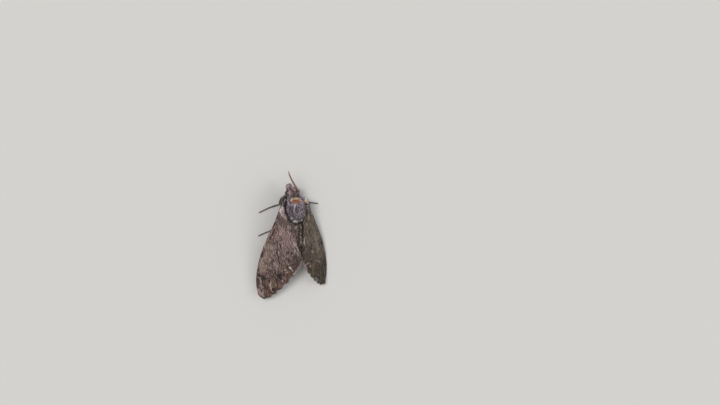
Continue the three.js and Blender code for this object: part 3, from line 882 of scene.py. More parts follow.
body = {
    "voxel": 0.185, "smoothing": 3, "groove": 0.8, "soleHeight": 0.06,
    "collarEnd": -4.8, "backEnd": 6.8, "rear": (0.8, 4.4),  # places from head to tail
    "flank": (12.6, 10.5),  # heights between which the back turns into the flank
    "patches": 0.2, "rearShade": 0.42, "foreLegPaintedShade": 0.55,
    "waver": ((1.2, 0.2), (0.5, 0.12)),  # size and reach of the waver in the edges of the marks
    "eyeRim": (2.7, 2.1), "eyeParting": (3.1, 2.0), "eyeTrim": (3.0, 2.0),  # from the middle of an eye
    "folds": (0.15, 0.3, 0.44, 0.57, 0.69, 0.8, 0.9), "foldStep": 0.07,  # segments of the abdomen
    "joints": (0.4, 0.58, 0.73, 0.86), "jointStep": 0.16,  # the five pieces of each foot
}

sideLines = [  # the dark lines between the back and the wing roots, partly a real black marking and partly painted shade of the deep gaps there (the left line's low front end and the short right front piece are painted shade): colour, strength, half width, course
    ("black", 1.0, 1.1, [(2.9, -6.8, 7.8), (3.9, -6.2, 9.2), (4.9, -5.9, 10.8), (6.0, -5.4, 12.1),
                          (6.3, -4.4, 12.3), (6.3, -2.8, 12.3), (6.5, -1.4, 12.3), (6.4, 0.1, 12.3),
                          (6.0, 1.6, 12.4), (5.5, 2.8, 12.5), (4.7, 4.0, 12.8), (3.9, 5.2, 12.9)]),
    ("black", 0.95, 0.5, [(-4.2, -6.9, 11.4), (-5.0, -6.0, 12.0)]),
    ("black", 0.95, 0.6, [(-6.5, -2.8, 12.7), (-6.6, -0.5, 12.2), (-6.2, 1.5, 12.5), (-5.6, 3.4, 13.0),
                          (-4.8, 5.4, 13.2)]),
]
rearLine = [(3.9, 5.4, 13.0), (3.4, 6.2, 13.5), (2.5, 6.9, 13.5), (1.2, 7.5, 13.5), (-0.2, 7.8, 13.5),
            (-1.6, 7.7, 13.3), (-3.2, 7.0, 13.0), (-4.6, 5.8, 13.0)]  # where the hair of the back ends; the black painted along it is painted shade under the ends of that hair


def steps(places, edges, depth):  # each piece widens to its far edge, then steps in
    edges = np.r_[0, edges, 1]
    k = np.clip(np.searchsorted(edges, places, side="right") - 1, 0, len(edges) - 2)
    share = (places - edges[k]) / (edges[k + 1] - edges[k])
    return 1 - depth / 2 + depth * share**1.5


def foldWave(places):
    return steps(places, body["folds"], body["foldStep"])


def footWave(places):
    return steps(places, body["joints"], body["jointStep"])


def mirrored(points, side):
    return [(side * x, y, z) for x, y, z in points]


def inHead(points):
    return [tuple(headMatrix @ Vector(point)) for point in points]


def soleOf(ankle, toe):  # where the foot comes down on the floor
    return np.array((*(0.65 * np.array(ankle) + 0.35 * np.array(toe))[:2], toe[2]))


zones = {  # kind, line, sections, coat depth, points around, rings, wave
    "thorax": ("thorax", [(0, -7.0, 10.0), (0, 0, 10.8), (0, 7.3, 10.4)], trunkSections, 0.5, 72, 60, None),
    "abdomen": ("abdomen", [(0, 7.2, 10.1), (-0.2, 9.6, 9.7), (-0.9, 14, 8.6), (-2.4, 22, 7.4),
                            (-4.3, 32.5, 5.6)], abdomenSections, 0.35, 64, 170, foldWave),
    "head": ("head", inHead([(0, 0.4, -0.6), (0, -1.5, -0.62), (0, -3.2, -1.1), (0, -5.4, -1.9)]),
             headSections, 0.3, 48, 40, None),
}
for side, name in ((1, "l"), (-1, "r")):
    palpLine = inHead(mirrored([(1.1, -2.4, -3.4), (0.98, -5.0, -3.0), (0.62, -6.9, -1.4)], side))
    zones["palp_" + name] = ("palp", palpLine, palpSections, 0.14, 28, 34, None)
    tegulaLine = mirrored([(5.3, -5.9, 12.0), (7.0, -3.4, 12.7), (7.6, -0.4, 12.9), (7.3, 1.8, 12.7)], side)
    zones["tegula_" + name] = ("tegula", tegulaLine, tegulaSections, 0.15, 24, 30, None)
for name, (root, knee, ankle, toe) in legTurns.items():
    for part, line, wave in (("femur", [root, knee], None), ("tibia", [knee, ankle], None),
                             ("tarsus", [ankle, soleOf(ankle, toe), toe], footWave)):
        zones[part + "_" + name] = (part, line, legSections[part], 0.07, 16, 50, wave)

shapes = [loft(line, shrunk(sections, depth), around, rings, wave=wave)
          for _, line, sections, depth, around, rings, wave in zones.values()]
for side, name in ((1, "l"), (-1, "r")):
    shapes.append(ball((side * 2.3, -5.7, 12.7), (2.3, 1.3, 2.0)))  # the two lobes of the collar
    shapes.append(ball(inHead([(side * 1.9, -2.3, 0.6)])[0], (1.3, 1.7, 1.2)))  # brows over the eyes
    wingRoot = mirrored([(5.2, -4.8, 11.4), (5.9, -1.5, 11.7), (5.6, 2.5, 11.9), (3.6, 6.6, 12.2)], side)
    shapes.append(loft(wingRoot, [(0, 1.0, 0.8), (0.4, 1.5, 1.0), (1, 1.1, 0.9)], 20, 30))
    for pair in ("fore", "middle", "hind"):
        root, knee = (np.array(p) for p in legTurns[pair + "_" + name][:2])
        shapes.append(ball(root + 0.12 * (knee - root) + (0, 0, -0.9), (1.5, 1.7, 1.5)))  # coxa
    shapes.append(ball((side * 3.0, -5.0, 6.3), (1.6, 1.9, 1.5)))  # the fore coxa stands further forward
shapes.append(ball(inHead([(0, -1.7, 1.6)])[0], (1.9, 1.9, 1.0)))  # crest between the feelers
shapes.append(ball(inHead([(0, -5.9, -2.4)])[0], (0.8, 0.95, 1.3)))  # closes the slit between the palps
bodySkin = fuse("bodySkin", shapes, body["voxel"], body["smoothing"])
spots = coordinatesOf(bodySkin)
grooves = [*sideLines, ("black", 0.9, 0.5, rearLine)]
for _, _, halfWidth, line in grooves:
    spots -= body["groove"] * (nearness(spots, line, halfWidth)[:, None] * normalsOf(bodySkin))
spots[:, 2] = np.maximum(spots[:, 2], body["soleHeight"])
bodySkin.vertices.foreach_set("co", ((spots + mothPlace) * mm).astype(np.float32).ravel())
bodySkin.update()
print("body skin", len(bodySkin.polygons), "faces")


def readZones(points):  # the nearest zone, how far along it and which way round it, 0.5 being below
    best = np.full(len(points), np.inf)
    zone = np.zeros(len(points), int)
    along, turn = np.zeros(len(points)), np.zeros(len(points))
    lie = np.zeros((len(points), 3))
    places = np.linspace(0, 1, 100)
    for index, (_, line, sections, *_) in enumerate(zones.values()):
        middle = alongLine(line, places)
        tangent = unit(np.gradient(middle, axis=0))
        sizes = readRows(sections, places)
        gap = (points**2).sum(1)[:, None] - 2 * points @ middle.T + (middle**2).sum(1)
        k = (gap / sizes.mean(1) ** 2).argmin(1)
        off = points - middle[k]
        right = unit(np.cross(tangent[k], (0, 0, 1)))
        over = np.cross(right, tangent[k])
        across, above = (off * right).sum(1) / sizes[k, 0], (off * over).sum(1) / sizes[k, 1]
        ahead = (off * tangent[k]).sum(1)
        share = np.sqrt(across**2 + above**2 + (ahead / sizes[k].mean(1)) ** 2)
        nearer = share < best
        best[nearer], zone[nearer] = share[nearer], index
        along[nearer] = (places[k] + ahead / np.linalg.norm(np.diff(middle, axis=0), axis=1).sum())[nearer]
        turn[nearer] = (np.arctan2(across, -above) / (2 * np.pi) + 0.5)[nearer]
        lie[nearer] = tangent[k][nearer]
    return zone, np.clip(along, 0, 1), turn, lie


zone, along, turn, lie = readZones(spots)
kinds = np.array([row[0] for row in zones.values()])[zone]
onHead = np.isin(kinds, ("head", "palp"))
facing = normalsOf(bodySkin)
eyeSpots = [np.array(place) for place in inHead(mirrored([head["eye"]], 1) + mirrored([head["eye"]], -1))]

furPalette = palette(
    thorax="#8a7783", flank="#6f6160", belly="#8c7d74", purple="#3a2d37", white="#eee6e6", lilac="#b3a8b3",
    black="#0f0a0b", cream="#efd6b2", orange="#c06a30", salmon="#c59079", olive="#857a55", brown="#3f2c28",
    pink="#a07279", headBrown="#5e4849", tip="#a38c99", abdomen="#866c60", abdomenDark="#261a17",
    abdomenPale="#a89384", palpUnder="#b5a89f", leg="#4d3f39", legPale="#a3978c", tegula="#9c8f93",
    moss="#6c5c42", fleck="#d9cdd6", blush="#d3b9bb", chalk="#f0e1d3", snow="#fff6f0", frost="#ecebf7")
shoulderTuft = ("cream", 1.0, 0.58, [(-5.5, -4.7, 11.8), (-6.0, -4.9, 12.3), (-6.4, -4.3, 12.5)])
neckMarks = [
    ("moss", 0.85, 0.65, [(2.4, -8.9, 12.1), (0.9, -9.2, 12.8), (-0.5, -9.1, 13.0), (-2.2, -8.6, 13.0)]),
    ("moss", 0.85, 0.5, [(2.2, -7.9, 12.8), (1.0, -7.9, 13.3), (-0.4, -7.8, 13.4), (-1.9, -7.6, 13.2)]),
    ("brown", 0.95, 0.4, [(0.9, -8.4, 12.9)]),
    ("brown", 0.95, 0.4, [(-0.5, -7.6, 13.3)]),
    ("brown", 0.9, 0.3, [(0.9, -9.3, 12.8)]),
    ("brown", 0.8, 0.3, [(-1.8, -8.9, 13.0)]),
]
thoraxMarks = [
    ("purple", 0.5, 1.0, [(4.6, -3.4, 14.2), (3.4, -2.6, 15.4)]),
    ("purple", 0.6, 0.7, [(0.9, -2.8, 16.4), (1.0, 0.2, 16.6)]),
    ("purple", 0.5, 0.9, [(4.4, -0.2, 15.0), (3.4, 2.4, 15.4)]),
    ("purple", 0.6, 0.55, [(2.4, 2.2, 15.8), (1.4, 3.6, 15.6)]),
    ("lilac", 0.4, 0.9, [(5.2, -3.0, 13.6), (5.4, -0.8, 13.6)]),
    ("purple", 0.75, 0.6, [(5.3, 1.0, 13.6), (4.7, 2.6, 13.9)]),
    ("purple", 0.5, 0.5, [(1.2, -4.0, 15.8), (1.6, -2.4, 16.2), (1.9, 0, 16.3)]),
    ("frost", 0.95, 0.34, [(1.6, -4.1, 15.6), (2.0, -2.8, 15.95), (2.4, -1.9, 16.05)]),
    ("frost", 0.85, 0.28, [(2.4, -1.9, 16.05), (2.55, -0.9, 16.1), (2.65, 0.0, 16.1)]),
    ("lilac", 0.6, 0.9, [(-3.4, -4.6, 14.6), (-3.1, -2.8, 15.5)]),
    ("olive", 0.7, 0.8, [(-4.6, -2.2, 14.4), (-5.0, -1.0, 14.1)]),
    ("olive", 0.35, 1.0, [(-3.6, -1.8, 15.4), (-4.6, 1.0, 14.8)]),
    ("white", 0.6, 0.6, [(4.2, -6.9, 11.8), (4.7, -5.6, 13.2), (4.9, -4.8, 13.6)]),
    ("salmon", 0.7, 0.5, [(2.7, -5.2, 14.6), (2.1, -4.8, 15.1), (0.8, -5.1, 15.3), (-1.0, -5.2, 15.2),
                          (-2.4, -5.1, 14.8)]),
    ("salmon", 0.6, 0.4, [(2.0, -4.4, 15.4)]),
    ("orange", 0.95, 0.56, [(1.9, -6.2, 14.5), (0.4, -6.4, 14.6), (-1.6, -5.8, 14.8)]),
    ("brown", 0.7, 0.25, [(0.1, -6.7, 14.4), (-0.9, -6.5, 14.5)]),
    ("cream", 1.0, 0.5, [(3.1, -6.4, 14.0), (2.0, -7.1, 13.8), (0.4, -7.4, 13.9), (-1.0, -7.0, 14.2),
                          (-1.9, -6.2, 14.6)]),
    *neckMarks,
    ("white", 0.8, 0.5, [(3.3, -8.8, 11.4), (3.8, -7.6, 12.2)]),
    ("headBrown", 0.9, 0.9, [(-2.2, -9.6, 11.6), (-3.0, -8.4, 11.6)]),
    shoulderTuft,
    ("purple", 0.8, 0.5, [(3.0, 4.9, 14.8), (1.2, 6.3, 14.9), (-2.4, 6.0, 14.6), (-4.4, 4.6, 13.8)]),
    ("purple", 0.9, 0.4, [(3.0, 5.3, 14.6)]),
    ("purple", 0.9, 0.5, [(-0.8, 5.8, 15.2), (-0.8, 6.8, 14.8)]),
    ("purple", 0.9, 0.45, [(-4.4, 4.7, 13.8)]),
    ("snow", 1.0, 0.7, [(3.6, 3.3, 15.1)]),
    ("snow", 1.0, 0.58, [(2.1, 5.3, 15.1), (1.4, 5.2, 15.4), (0.5, 5.6, 15.3)]),
    ("snow", 1.0, 0.6, [(-2.3, 5.3, 14.9), (-3.3, 5.1, 14.3)]),
    ("snow", 1.0, 0.6, [(-4.6, 3.0, 14.3)]),
    # painted shade: the black side lines stand for the deep shadow between the back and the wing roots,
    # partly over a real black marking
    *sideLines,
    # painted shade: the black along the back's end stands for the shadow under the ends of its hair
    ("black", 0.9, 0.6, rearLine),
]
tegulaMarks = [
    ("blush", 0.9, 1.6, [(8.0, -2.4, 13.2), (7.6, 1.4, 13.2)]),
    # painted shade: this black and the side lines below stand for the shadow in the gap beside the left
    # tegula
    ("black", 1.0, 0.55, [(6.9, -4.2, 12.9), (7.0, -2.6, 13.2), (6.8, -0.6, 13.2)]),
    ("purple", 0.8, 0.5, [(8.7, -3.4, 12.3), (8.9, -0.6, 12.4)]),
    ("purple", 0.6, 0.4, [(-7.4, -3.2, 13.2), (-8.0, -0.6, 13.2), (-7.6, 1.4, 13.2)]),
    shoulderTuft,
    *sideLines,
]
headMarks = [
    ("headBrown", 0.9, 1.4, [(-2.6, -8.9, 12.2), (-1.8, -10.6, 12.2)]),
    *neckMarks,
    ("blush", 0.75, 1.1, [(2.6, -11.6, 8.8), (3.1, -10.4, 9.7), (3.2, -9.4, 11.2)]),
    ("brown", 0.95, 0.38, [(1.9, -12.8, 9.1), (1.9, -12.2, 10.5), (1.6, -11.2, 11.9),
                          (1.0, -10.2, 12.6)]),
    ("blush", 0.8, 0.5, [(1.3, -12.9, 9.8), (0.7, -12.4, 10.9), (-0.1, -11.6, 11.6), (-0.4, -11.0, 12.0)]),
    ("white", 0.7, 0.4, [(-0.5, -11.1, 12.0)]),
    ("blush", 0.8, 0.6, [(3.3, -10.3, 10.9)]),
    ("brown", 0.8, 0.3, [(-1.4, -10.6, 12.0), (-1.0, -9.8, 12.4)]),
    ("white", 0.5, 0.55, [(1.9, -8.4, 12.4), (2.4, -8.9, 11.8)]),
    ("white", 0.5, 0.85, [(2.4, -12.9, 8.4), (1.4, -13.5, 7.8)]),
]
abdomenMarks = [
    ("abdomenPale", 0.3, 3.0, [(-1.4, 14, 12.2), (-3.2, 24, 10.4)]),
    ("abdomenDark", 0.8, 0.6, [(2.2, 8.0, 12.9), (0.5, 8.3, 13.3), (-1.5, 8.0, 13.3), (-3.4, 7.8, 12.9)]),
    ("chalk", 0.7, 0.42, [(-1.9, 9.2, 13.1), (-2.6, 9.9, 12.8), (-3.5, 10.9, 12.3), (-4.2, 12.2, 11.8)]),
    ("abdomenPale", 0.5, 0.9, [(0.2, 14.5, 12.4), (-0.2, 19, 11.6)]),
    ("abdomenDark", 1.0, 0.5, [(-1.5, 8.8, 13.3), (-1.5, 10.9, 13.1), (-1.3, 13.0, 12.8), (-1.2, 15.2, 12.3),
                               (-1.2, 16.8, 12.0), (-2.2, 19.5, 11.3), (-3.4, 22.0, 10.7), (-4.4, 26, 9.8)]),
    ("abdomenDark", 0.9, 0.42, [(-3.7, 12.9, 12.0), (-3.8, 17.1, 11.2)]),
    ("chalk", 0.95, 0.65, [(1.5, 10.3, 12.9), (0.6, 10.0, 13.1)]),
    ("chalk", 0.9, 0.45, [(-2.7, 14.9, 12.0)]),
    ("chalk", 0.9, 0.45, [(-2.7, 16.4, 11.7)]),
    ("chalk", 0.6, 0.5, [(-2.7, 18.3, 11.3), (-3.0, 20.2, 10.9)]),
    # painted shade: the black along the back's end stands for the shadow under the ends of its hair
    ("black", 0.9, 0.6, rearLine),
]


def bodyColours():
    colours = np.zeros((len(spots), 3))
    upward = smoothStep(-0.35, 0.35, facing[:, 2])[:, None]
    grounds = {
        "thorax": ("thorax", "belly"), "abdomen": ("abdomen", "belly"), "head": ("pink", "palpUnder"),
        "palp": ("tip", "palpUnder"), "tegula": ("tegula", "flank"), "femur": ("leg", "belly"),
        "tibia": ("leg", "leg"), "tarsus": ("leg", "leg"),
    }
    thoraxPart = (kinds == "thorax") & (spots[:, 1] < body["backEnd"])
    abdomenPart = (kinds == "abdomen") | (kinds == "thorax") & ~thoraxPart
    for kind, (top, under) in grounds.items():
        own = {"thorax": thoraxPart, "abdomen": abdomenPart}.get(kind, kinds == kind)
        colours[own] = (furPalette[under] + upward * (furPalette[top] - furPalette[under]))[own]
    flank = (kinds == "thorax") * smoothStep(*body["flank"], spots[:, 2])
    tint(colours, 0.8 * (flank * smoothStep(-0.6, 0, facing[:, 2])), furPalette["flank"])
    for own, amount, dark, pale in ((thoraxPart | (kinds == "tegula"), 0.9, "purple", "fleck"),
                                    (kinds == "head", 0.55, "brown", "tip"),
                                    (abdomenPart, 0.8, "abdomenDark", "abdomenPale")):
        for kind, size, layer in ((dark, 0.85, 5), (dark, 0.5, 7), (pale, 0.55, 6)):
            tint(colours, own * amount * smoothStep(0.0, 0.45, wobble(spots, size, layer)), furPalette[kind])
    colours *= 1 - body["rearShade"] * (thoraxPart * smoothStep(*body["rear"], spots[:, 1]))[:, None]
    shaky = spots.copy()
    for size, amount in body["waver"]:
        shaky += amount * np.c_[wobble(spots, size, 1), wobble(spots, size, 2), wobble(spots, size, 3)]
    for chosen, marks in ((thoraxPart, thoraxMarks), (onHead, headMarks), (abdomenPart, abdomenMarks),
                          (kinds == "tegula", tegulaMarks)):
        part = colours[chosen]
        paint(part, shaky[chosen], marks, furPalette)
        colours[chosen] = part

    def near(places, wide, narrow, kind):  # 1 close to the places along a zone of one kind
        gap = np.min(np.abs(along[:, None] - places), axis=1)
        return (kinds == kind) * smoothStep(wide, narrow, gap)

    edges = np.array((0, *body["folds"], 1))
    tint(colours, near(edges[1:] - 0.012, 0.02, 0.004, "abdomen") * 0.55, furPalette["abdomenPale"])
    tint(colours, 0.5 * near(edges + 0.016, 0.022, 0.01, "abdomen"), furPalette["abdomenDark"])
    rows = smoothStep(0.75, 0.95, np.abs(np.sin(2 * np.pi * (turn - 0.5))))  # along both sides
    beat = np.sin(2 * np.pi * np.interp(along, edges, np.arange(len(edges)))) * 0.5 + 0.5
    tint(colours, 0.6 * (kinds == "abdomen") * rows * smoothStep(0.25, 0.8, beat), furPalette["abdomenDark"])
    ring = near(np.array((*body["joints"], 1)) - 0.03, 0.05, 0.02, "tarsus")
    ring = ring + near([0.93], 0.1, 0.04, "tibia") + near([0.95], 0.12, 0.05, "femur")
    tint(colours, 0.75 * ring, furPalette["legPale"])
    tint(colours, 0.35 * (kinds == "tibia") * smoothStep(0, 0.7, facing[:, 2]), furPalette["legPale"])
    # painted shade: the left fore leg's femur and tibia are darkened to stand for the shadow beside the body;
    # the right fore leg is not
    paintedShadeOnLeg = np.isin(zone, [list(zones).index(name) for name in ("femur_fore_l", "tibia_fore_l")])
    colours[paintedShadeOnLeg & (along < 0.9)] *= body["foreLegPaintedShade"]
    for place in eyeSpots:
        rim = onHead * smoothStep(*body["eyeRim"], np.linalg.norm(spots - place, axis=1))
        tint(colours, 0.7 * rim, furPalette["headBrown"])
    return colours * (1 + body["patches"] * wobble(spots, 1.5, 4))[:, None]


def bodyLie():
    out = lie.copy()
    trunk = kinds == "thorax"
    out[trunk] += np.c_[0.05 * spots[:, 0], 0 * along, -0.02 * np.abs(spots[:, 0])][trunk]
    collar = trunk & (spots[:, 1] < body["collarEnd"])
    out[collar] = unit(out + (0, 0, 0.5))[collar]
    for _, _, halfWidth, line in sideLines:
        ends = np.array(line)
        for a, b in zip(ends[:-1], ends[1:]):
            tint(out, nearness(spots, (a, b), halfWidth), 1.6 * unit(b - a))
    behind = (kinds == "head") * smoothStep(0.56, 0.38, along)  # behind the feelers the hair points back
    out += behind[:, None] * ((0, 0, 0.5) - 1.7 * out)
    for place in eyeSpots:  # scales part round each eye
        away = spots - place
        parting = smoothStep(*body["eyeParting"], np.linalg.norm(away, axis=1))
        out += (1.6 * onHead * parting)[:, None] * unit(away)
    return unit(out)


def bodySizes():
    rear = smoothStep(3.0, 6.5, spots[:, 1]) * smoothStep(11, 13, spots[:, 2])
    size = np.where(spots[:, 1] < body["collarEnd"], 0.85, 0.9 + 0.35 * rear + 0.3 * (facing[:, 2] < -0.3))
    for _, _, halfWidth, line in sideLines:
        size = size * (1 - 0.45 * nearness(spots, line, halfWidth))
    size = size * (1 - 0.65 * nearness(spots, rearLine, 1.1))
    for kind, own in (("tegula", 1.15), ("femur", 1.35), ("tibia", 1.0), ("tarsus", 0.62),
                      ("abdomen", 0.9 + 0.3 * smoothStep(0.88, 1.0, along)),
                      ("head", 0.95 - 0.3 * smoothStep(0.35, 0.9, along)),
                      ("palp", 0.75 + 0.15 * np.sin(np.pi * along))):
        size = np.where(kinds == kind, own, size)
    for place in eyeSpots:
        trim = smoothStep(*body["eyeTrim"], np.linalg.norm(spots - place, axis=1))
        size = size * (1 - 0.35 * onHead * trim)
    return size


def bodyLift():  # on top of the coat's own lift: the collar and the abdomen's end stand up more
    collar = (kinds == "thorax") * smoothStep(-4.6, -5.6, spots[:, 1]) * math.radians(9)
    return collar + (kinds == "abdomen") * smoothStep(0.9, 1, along) * math.radians(4)


def charts():  # an unwrap of the skin's own shape: every zone has its own cell of the map for its coat
    cells = {"abdomen": (0, 0, 1, 1), "thorax": (0, 0, 1, 0.84), "head": (0, 0, 1, 0.62),
             "tegula_l": (0, 0.86, 0.49, 0.14), "tegula_r": (0.51, 0.86, 0.49, 0.14),
             "palp_l": (0, 0.64, 0.49, 0.36), "palp_r": (0.51, 0.64, 0.49, 0.36)}
    for row, name in enumerate(legTurns):
        for part, start, share in (("femur", 0, 0.3), ("tibia", 0.31, 0.35), ("tarsus", 0.67, 0.33)):
            cells[part + "_" + name] = (start, row / 6, share, 0.155)
    table = np.array([cells[name] for name in zones])[zone]
    return 0.02 + 0.96 * (table[:, :2] + table[:, 2:] * np.c_[along, turn])


def markFaces(skin):  # a face over two zones or over a seam takes its first corner's place on the map
    loops, starts = cornersOf(skin)

    def span(values):  # how much the values at each face's corners differ
        return np.maximum.reduceat(values[loops], starts) - np.minimum.reduceat(values[loops], starts)

    counts = np.diff(np.r_[starts, len(loops)])
    torn = np.repeat((span(zone) > 0) | (span(turn) > 0.5), counts)
    places = charts()[np.where(torn, np.repeat(loops[starts], counts), loops)]
    give(skin, "rootPlace", "FLOAT_VECTOR", np.c_[places, np.zeros(len(loops))], "CORNER")
    toEye = np.min([np.linalg.norm(spots - place, axis=1) for place in eyeSpots], axis=0)
    bare = toEye <= head["eyeRadius"] + head["eyeGap"]  # no tuft grows through an eye
    whole = ~np.maximum.reduceat(bare[loops], starts)
    for name, own in (("onThorax", ("thorax", "tegula")), ("onAbdomen", ("abdomen",)),
                      ("onHead", ("head", "palp")), ("onLegs", ("femur", "tibia", "tarsus"))):
        give(skin, name, "BOOLEAN", whole & np.isin(kinds[loops[starts]], own), "FACE")


inGroove = np.max([nearness(spots, line, halfWidth) for _, _, halfWidth, line in grooves], axis=0)
thinning = 1 - 0.3 * inGroove * (kinds != "tegula")
dress(bodySkin, bodyColours(), bodyLie(), bodySizes(), thinning, lift=bodyLift(), speckle=0.75)
markFaces(bodySkin)
bodyCoat = {
    "onThorax": {"spacing": 0.125, "most": 160, "length": 1.25, "width": 0.19, "thickness": 0.24, "lift": 8,
                 "liftSpread": 7, "yawSpread": 15, "sizeSpread": 0.25, "seed": 21},
    "onAbdomen": {"spacing": 0.13, "most": 150, "length": 0.9, "width": 0.22, "thickness": 0.22, "lift": 5,
                  "liftSpread": 5, "yawSpread": 13, "sizeSpread": 0.2, "seed": 22},
    "onHead": {"spacing": 0.08, "most": 300, "length": 0.62, "width": 0.12, "thickness": 0.15, "lift": 9,
               "liftSpread": 8, "yawSpread": 18, "sizeSpread": 0.25, "seed": 23},
    "onLegs": {"spacing": 0.125, "most": 180, "length": 0.5, "width": 0.2, "thickness": 0.2, "lift": 6,
               "liftSpread": 5, "yawSpread": 14, "sizeSpread": 0.2, "seed": 24},
}
for name, where, tree, slot, finish in (
        ("thoraxFur", "onThorax", furTree, "body", furScale),
        ("abdomenFur", "onAbdomen", furTree, "abdomen", furScale),
        ("headFur", "onHead", furTree, "body", furScale),
        ("legScales", "onLegs", vaneTree, "leg", wingScale)):
    growCoat(name, bodySkin, tree, where, bodyCoat[where], finish)
legNodes = ["_".join(("leg", name, part)) for name in legTurns for part in legSections]
addPiece("bodySkin", bodySkin, bodySkinFinish,
         ["thorax", "head", "palp_l", "palp_r", *("abdomen_%d" % n for n in range(1, 7)), *legNodes])
print("body done")

# feelers: a round first joint, then a rod of flared rings that narrows to its tip

feelers = {
    "lines": {
        "l": [(3.05, -8.15, 11.4), (4.9, -8.9, 11.0), (6.6, -6.8, 9.9), (7.35, -2.0, 9.3), (9.3, 7.6, 8.4)],
        "r": [(-2.4, -9.5, 11.4), (-2.3, -10.5, 13.0), (-0.3, -12.8, 14.2), (2.0, -16.5, 15.4),
              (4.4, -20.7, 17.0), (6.0, -24.4, 18.4)],
    },
    "sections": [(0, 0.3, 0.3), (0.015, 0.5, 0.5), (0.045, 0.52, 0.52), (0.06, 0.3, 0.3), (0.09, 0.34, 0.34),
                 (0.7, 0.38, 0.38), (0.9, 0.3, 0.3), (0.97, 0.17, 0.17), (1, 0.05, 0.05)],
    "rings": 62, "flare": 0.16,
    "colours": {  # scaled top near the head, rusty rod, scaled top far out
        # painted shade: the left feeler's darker colours stand for the shadow it lies in beside the body
        "l": ("#665a56", "#59402f", "#6f6360"),
        "r": ("#9a8d8b", "#a8704c", "#a07c64"),
    },
}


def ringWave(places):
    return steps(places, np.linspace(0.06, 1, feelers["rings"] + 1)[:-1], feelers["flare"])


def feeler(key):
    line, around, rings = feelers["lines"][key], 20, 330
    points, faces = loft(line, feelers["sections"], around, rings, wave=ringWave)
    mesh = makeMesh("feeler", points, faces)
    places = np.linspace(0, 1, rings)
    middle = alongLine(line, places)

    def spreadOut(values):  # one row for each point of the mesh
        return np.r_[np.repeat(values, around, 0), values[:1], values[-1:]]

    share = spreadOut(places)
    off = coordinatesOf(mesh) - spreadOut(middle)
    tangent = unit(spreadOut(np.gradient(middle, axis=0)))
    above = unit((0, 0, 1) - tangent[:, 2:] * tangent)  # the upper side of the rod, also where it climbs
    height = (off * above).sum(1)
    up = smoothStep(-0.1, 0.6, height / np.linalg.norm(off, axis=1))
    near, rod, far = (linear(colour) for colour in feelers["colours"][key])
    scaled = near + smoothStep(0.25, 0.7, share)[:, None] * (far - near)
    colours = rod + (up * (0.9 - 0.45 * share))[:, None] * (scaled - rod)
    ringed = np.abs((share * feelers["rings"]) % 1 - 0.5) * 2
    colours *= (0.85 + 0.3 * ringed)[:, None]
    turn = np.r_[np.tile(np.arange(around) / around, rings), 0.5, 0.5]
    dress(mesh, colours, tangent, 1 - 0.4 * share, 1.0, 0.02 + 0.96 * np.c_[share, turn])
    loops, starts = cornersOf(mesh)
    height, turns = height[loops[starts]], turn[loops]
    whole = np.maximum.reduceat(turns, starts) - np.minimum.reduceat(turns, starts) < 0.5
    give(mesh, "upperSide", "BOOLEAN", whole & (height > 0), "FACE")
    give(mesh, "underSide", "BOOLEAN", whole & (height <= 0), "FACE")
    return mesh


feelerCoat = {
    "scales": {"spacing": 0.08, "most": 350, "length": 0.3, "width": 0.13, "thickness": 0.12, "lift": 4,
               "liftSpread": 3, "yawSpread": 10, "sizeSpread": 0.2, "seed": 31},
    "lashes": {"spacing": 0.13, "most": 120, "length": 0.34, "width": 0.04, "thickness": 0.05, "lift": 50,
               "liftSpread": 14, "yawSpread": 10, "sizeSpread": 0.2, "seed": 32},
}
for key, side in (("l", "Left"), ("r", "Right")):
    rod = feeler(key)
    growCoat("feelerScales" + side, rod, vaneTree, "upperSide", feelerCoat["scales"], wingScale)
    growCoat("feelerLashes" + side, rod, furTree, "underSide", feelerCoat["lashes"], furScale)
    addPiece("feeler" + side, rod, bodySkinFinish, ["antenna_" + key])
print("feelers done")

# eyes: glossy balls of small domed facets, sunk in the head

eyes = {"levels": 5, "dome": 0.007}  # a facet is 0.03 mm across in life, drawn 0.12 mm so that it shows
for key, side, place in (("l", "Left", eyeSpots[0]), ("r", "Right", eyeSpots[1])):
    shape = bmesh.new()
    bmesh.ops.create_icosphere(shape, subdivisions=eyes["levels"], radius=1)
    facets = set(shape.verts)
    bmesh.ops.subdivide_edges(shape, edges=shape.edges, cuts=1, use_grid_fill=True)
    for vertex in shape.verts:
        rise = eyes["dome"] if vertex in facets else -eyes["dome"] / 2
        vertex.co = vertex.co.normalized() * (head["eyeRadius"] + rise)
    bmesh.ops.recalc_face_normals(shape, faces=shape.faces)
    mesh = bpy.data.meshes.new("eye")
    shape.to_mesh(mesh)
    shape.free()
    mesh.transform(Matrix.Scale(mm, 4) @ Matrix.Translation(Vector(place + mothPlace)))
    mesh.shade_smooth()
    addPiece("eye" + side, mesh, eyeLens, ["eye_" + key])
print("eyes done")

# claws, spurs and the coiled tongue

horns = {"claw": 0.85, "clawThick": 0.13, "spur": 1.7, "spurThick": 0.14}
spurPlaces = {"fore": (), "middle": (0.94,), "hind": (0.62, 0.95)}  # along the tibia


def thorn(base, way, length, thick, bow):  # a curved spine that narrows to its point
    base, way, bow = np.array(base, float), unit(np.array(way, float)), np.array(bow, float)
    line = [base + way * length * t + bow * t * t for t in np.linspace(0, 1, 6)]
    widths = [(place, share * thick, share * thick) for place, share in ((0, 1), (0.5, 0.75), (1, 0.05))]
    return loft(line, widths, 10, 14, dome=0.6)


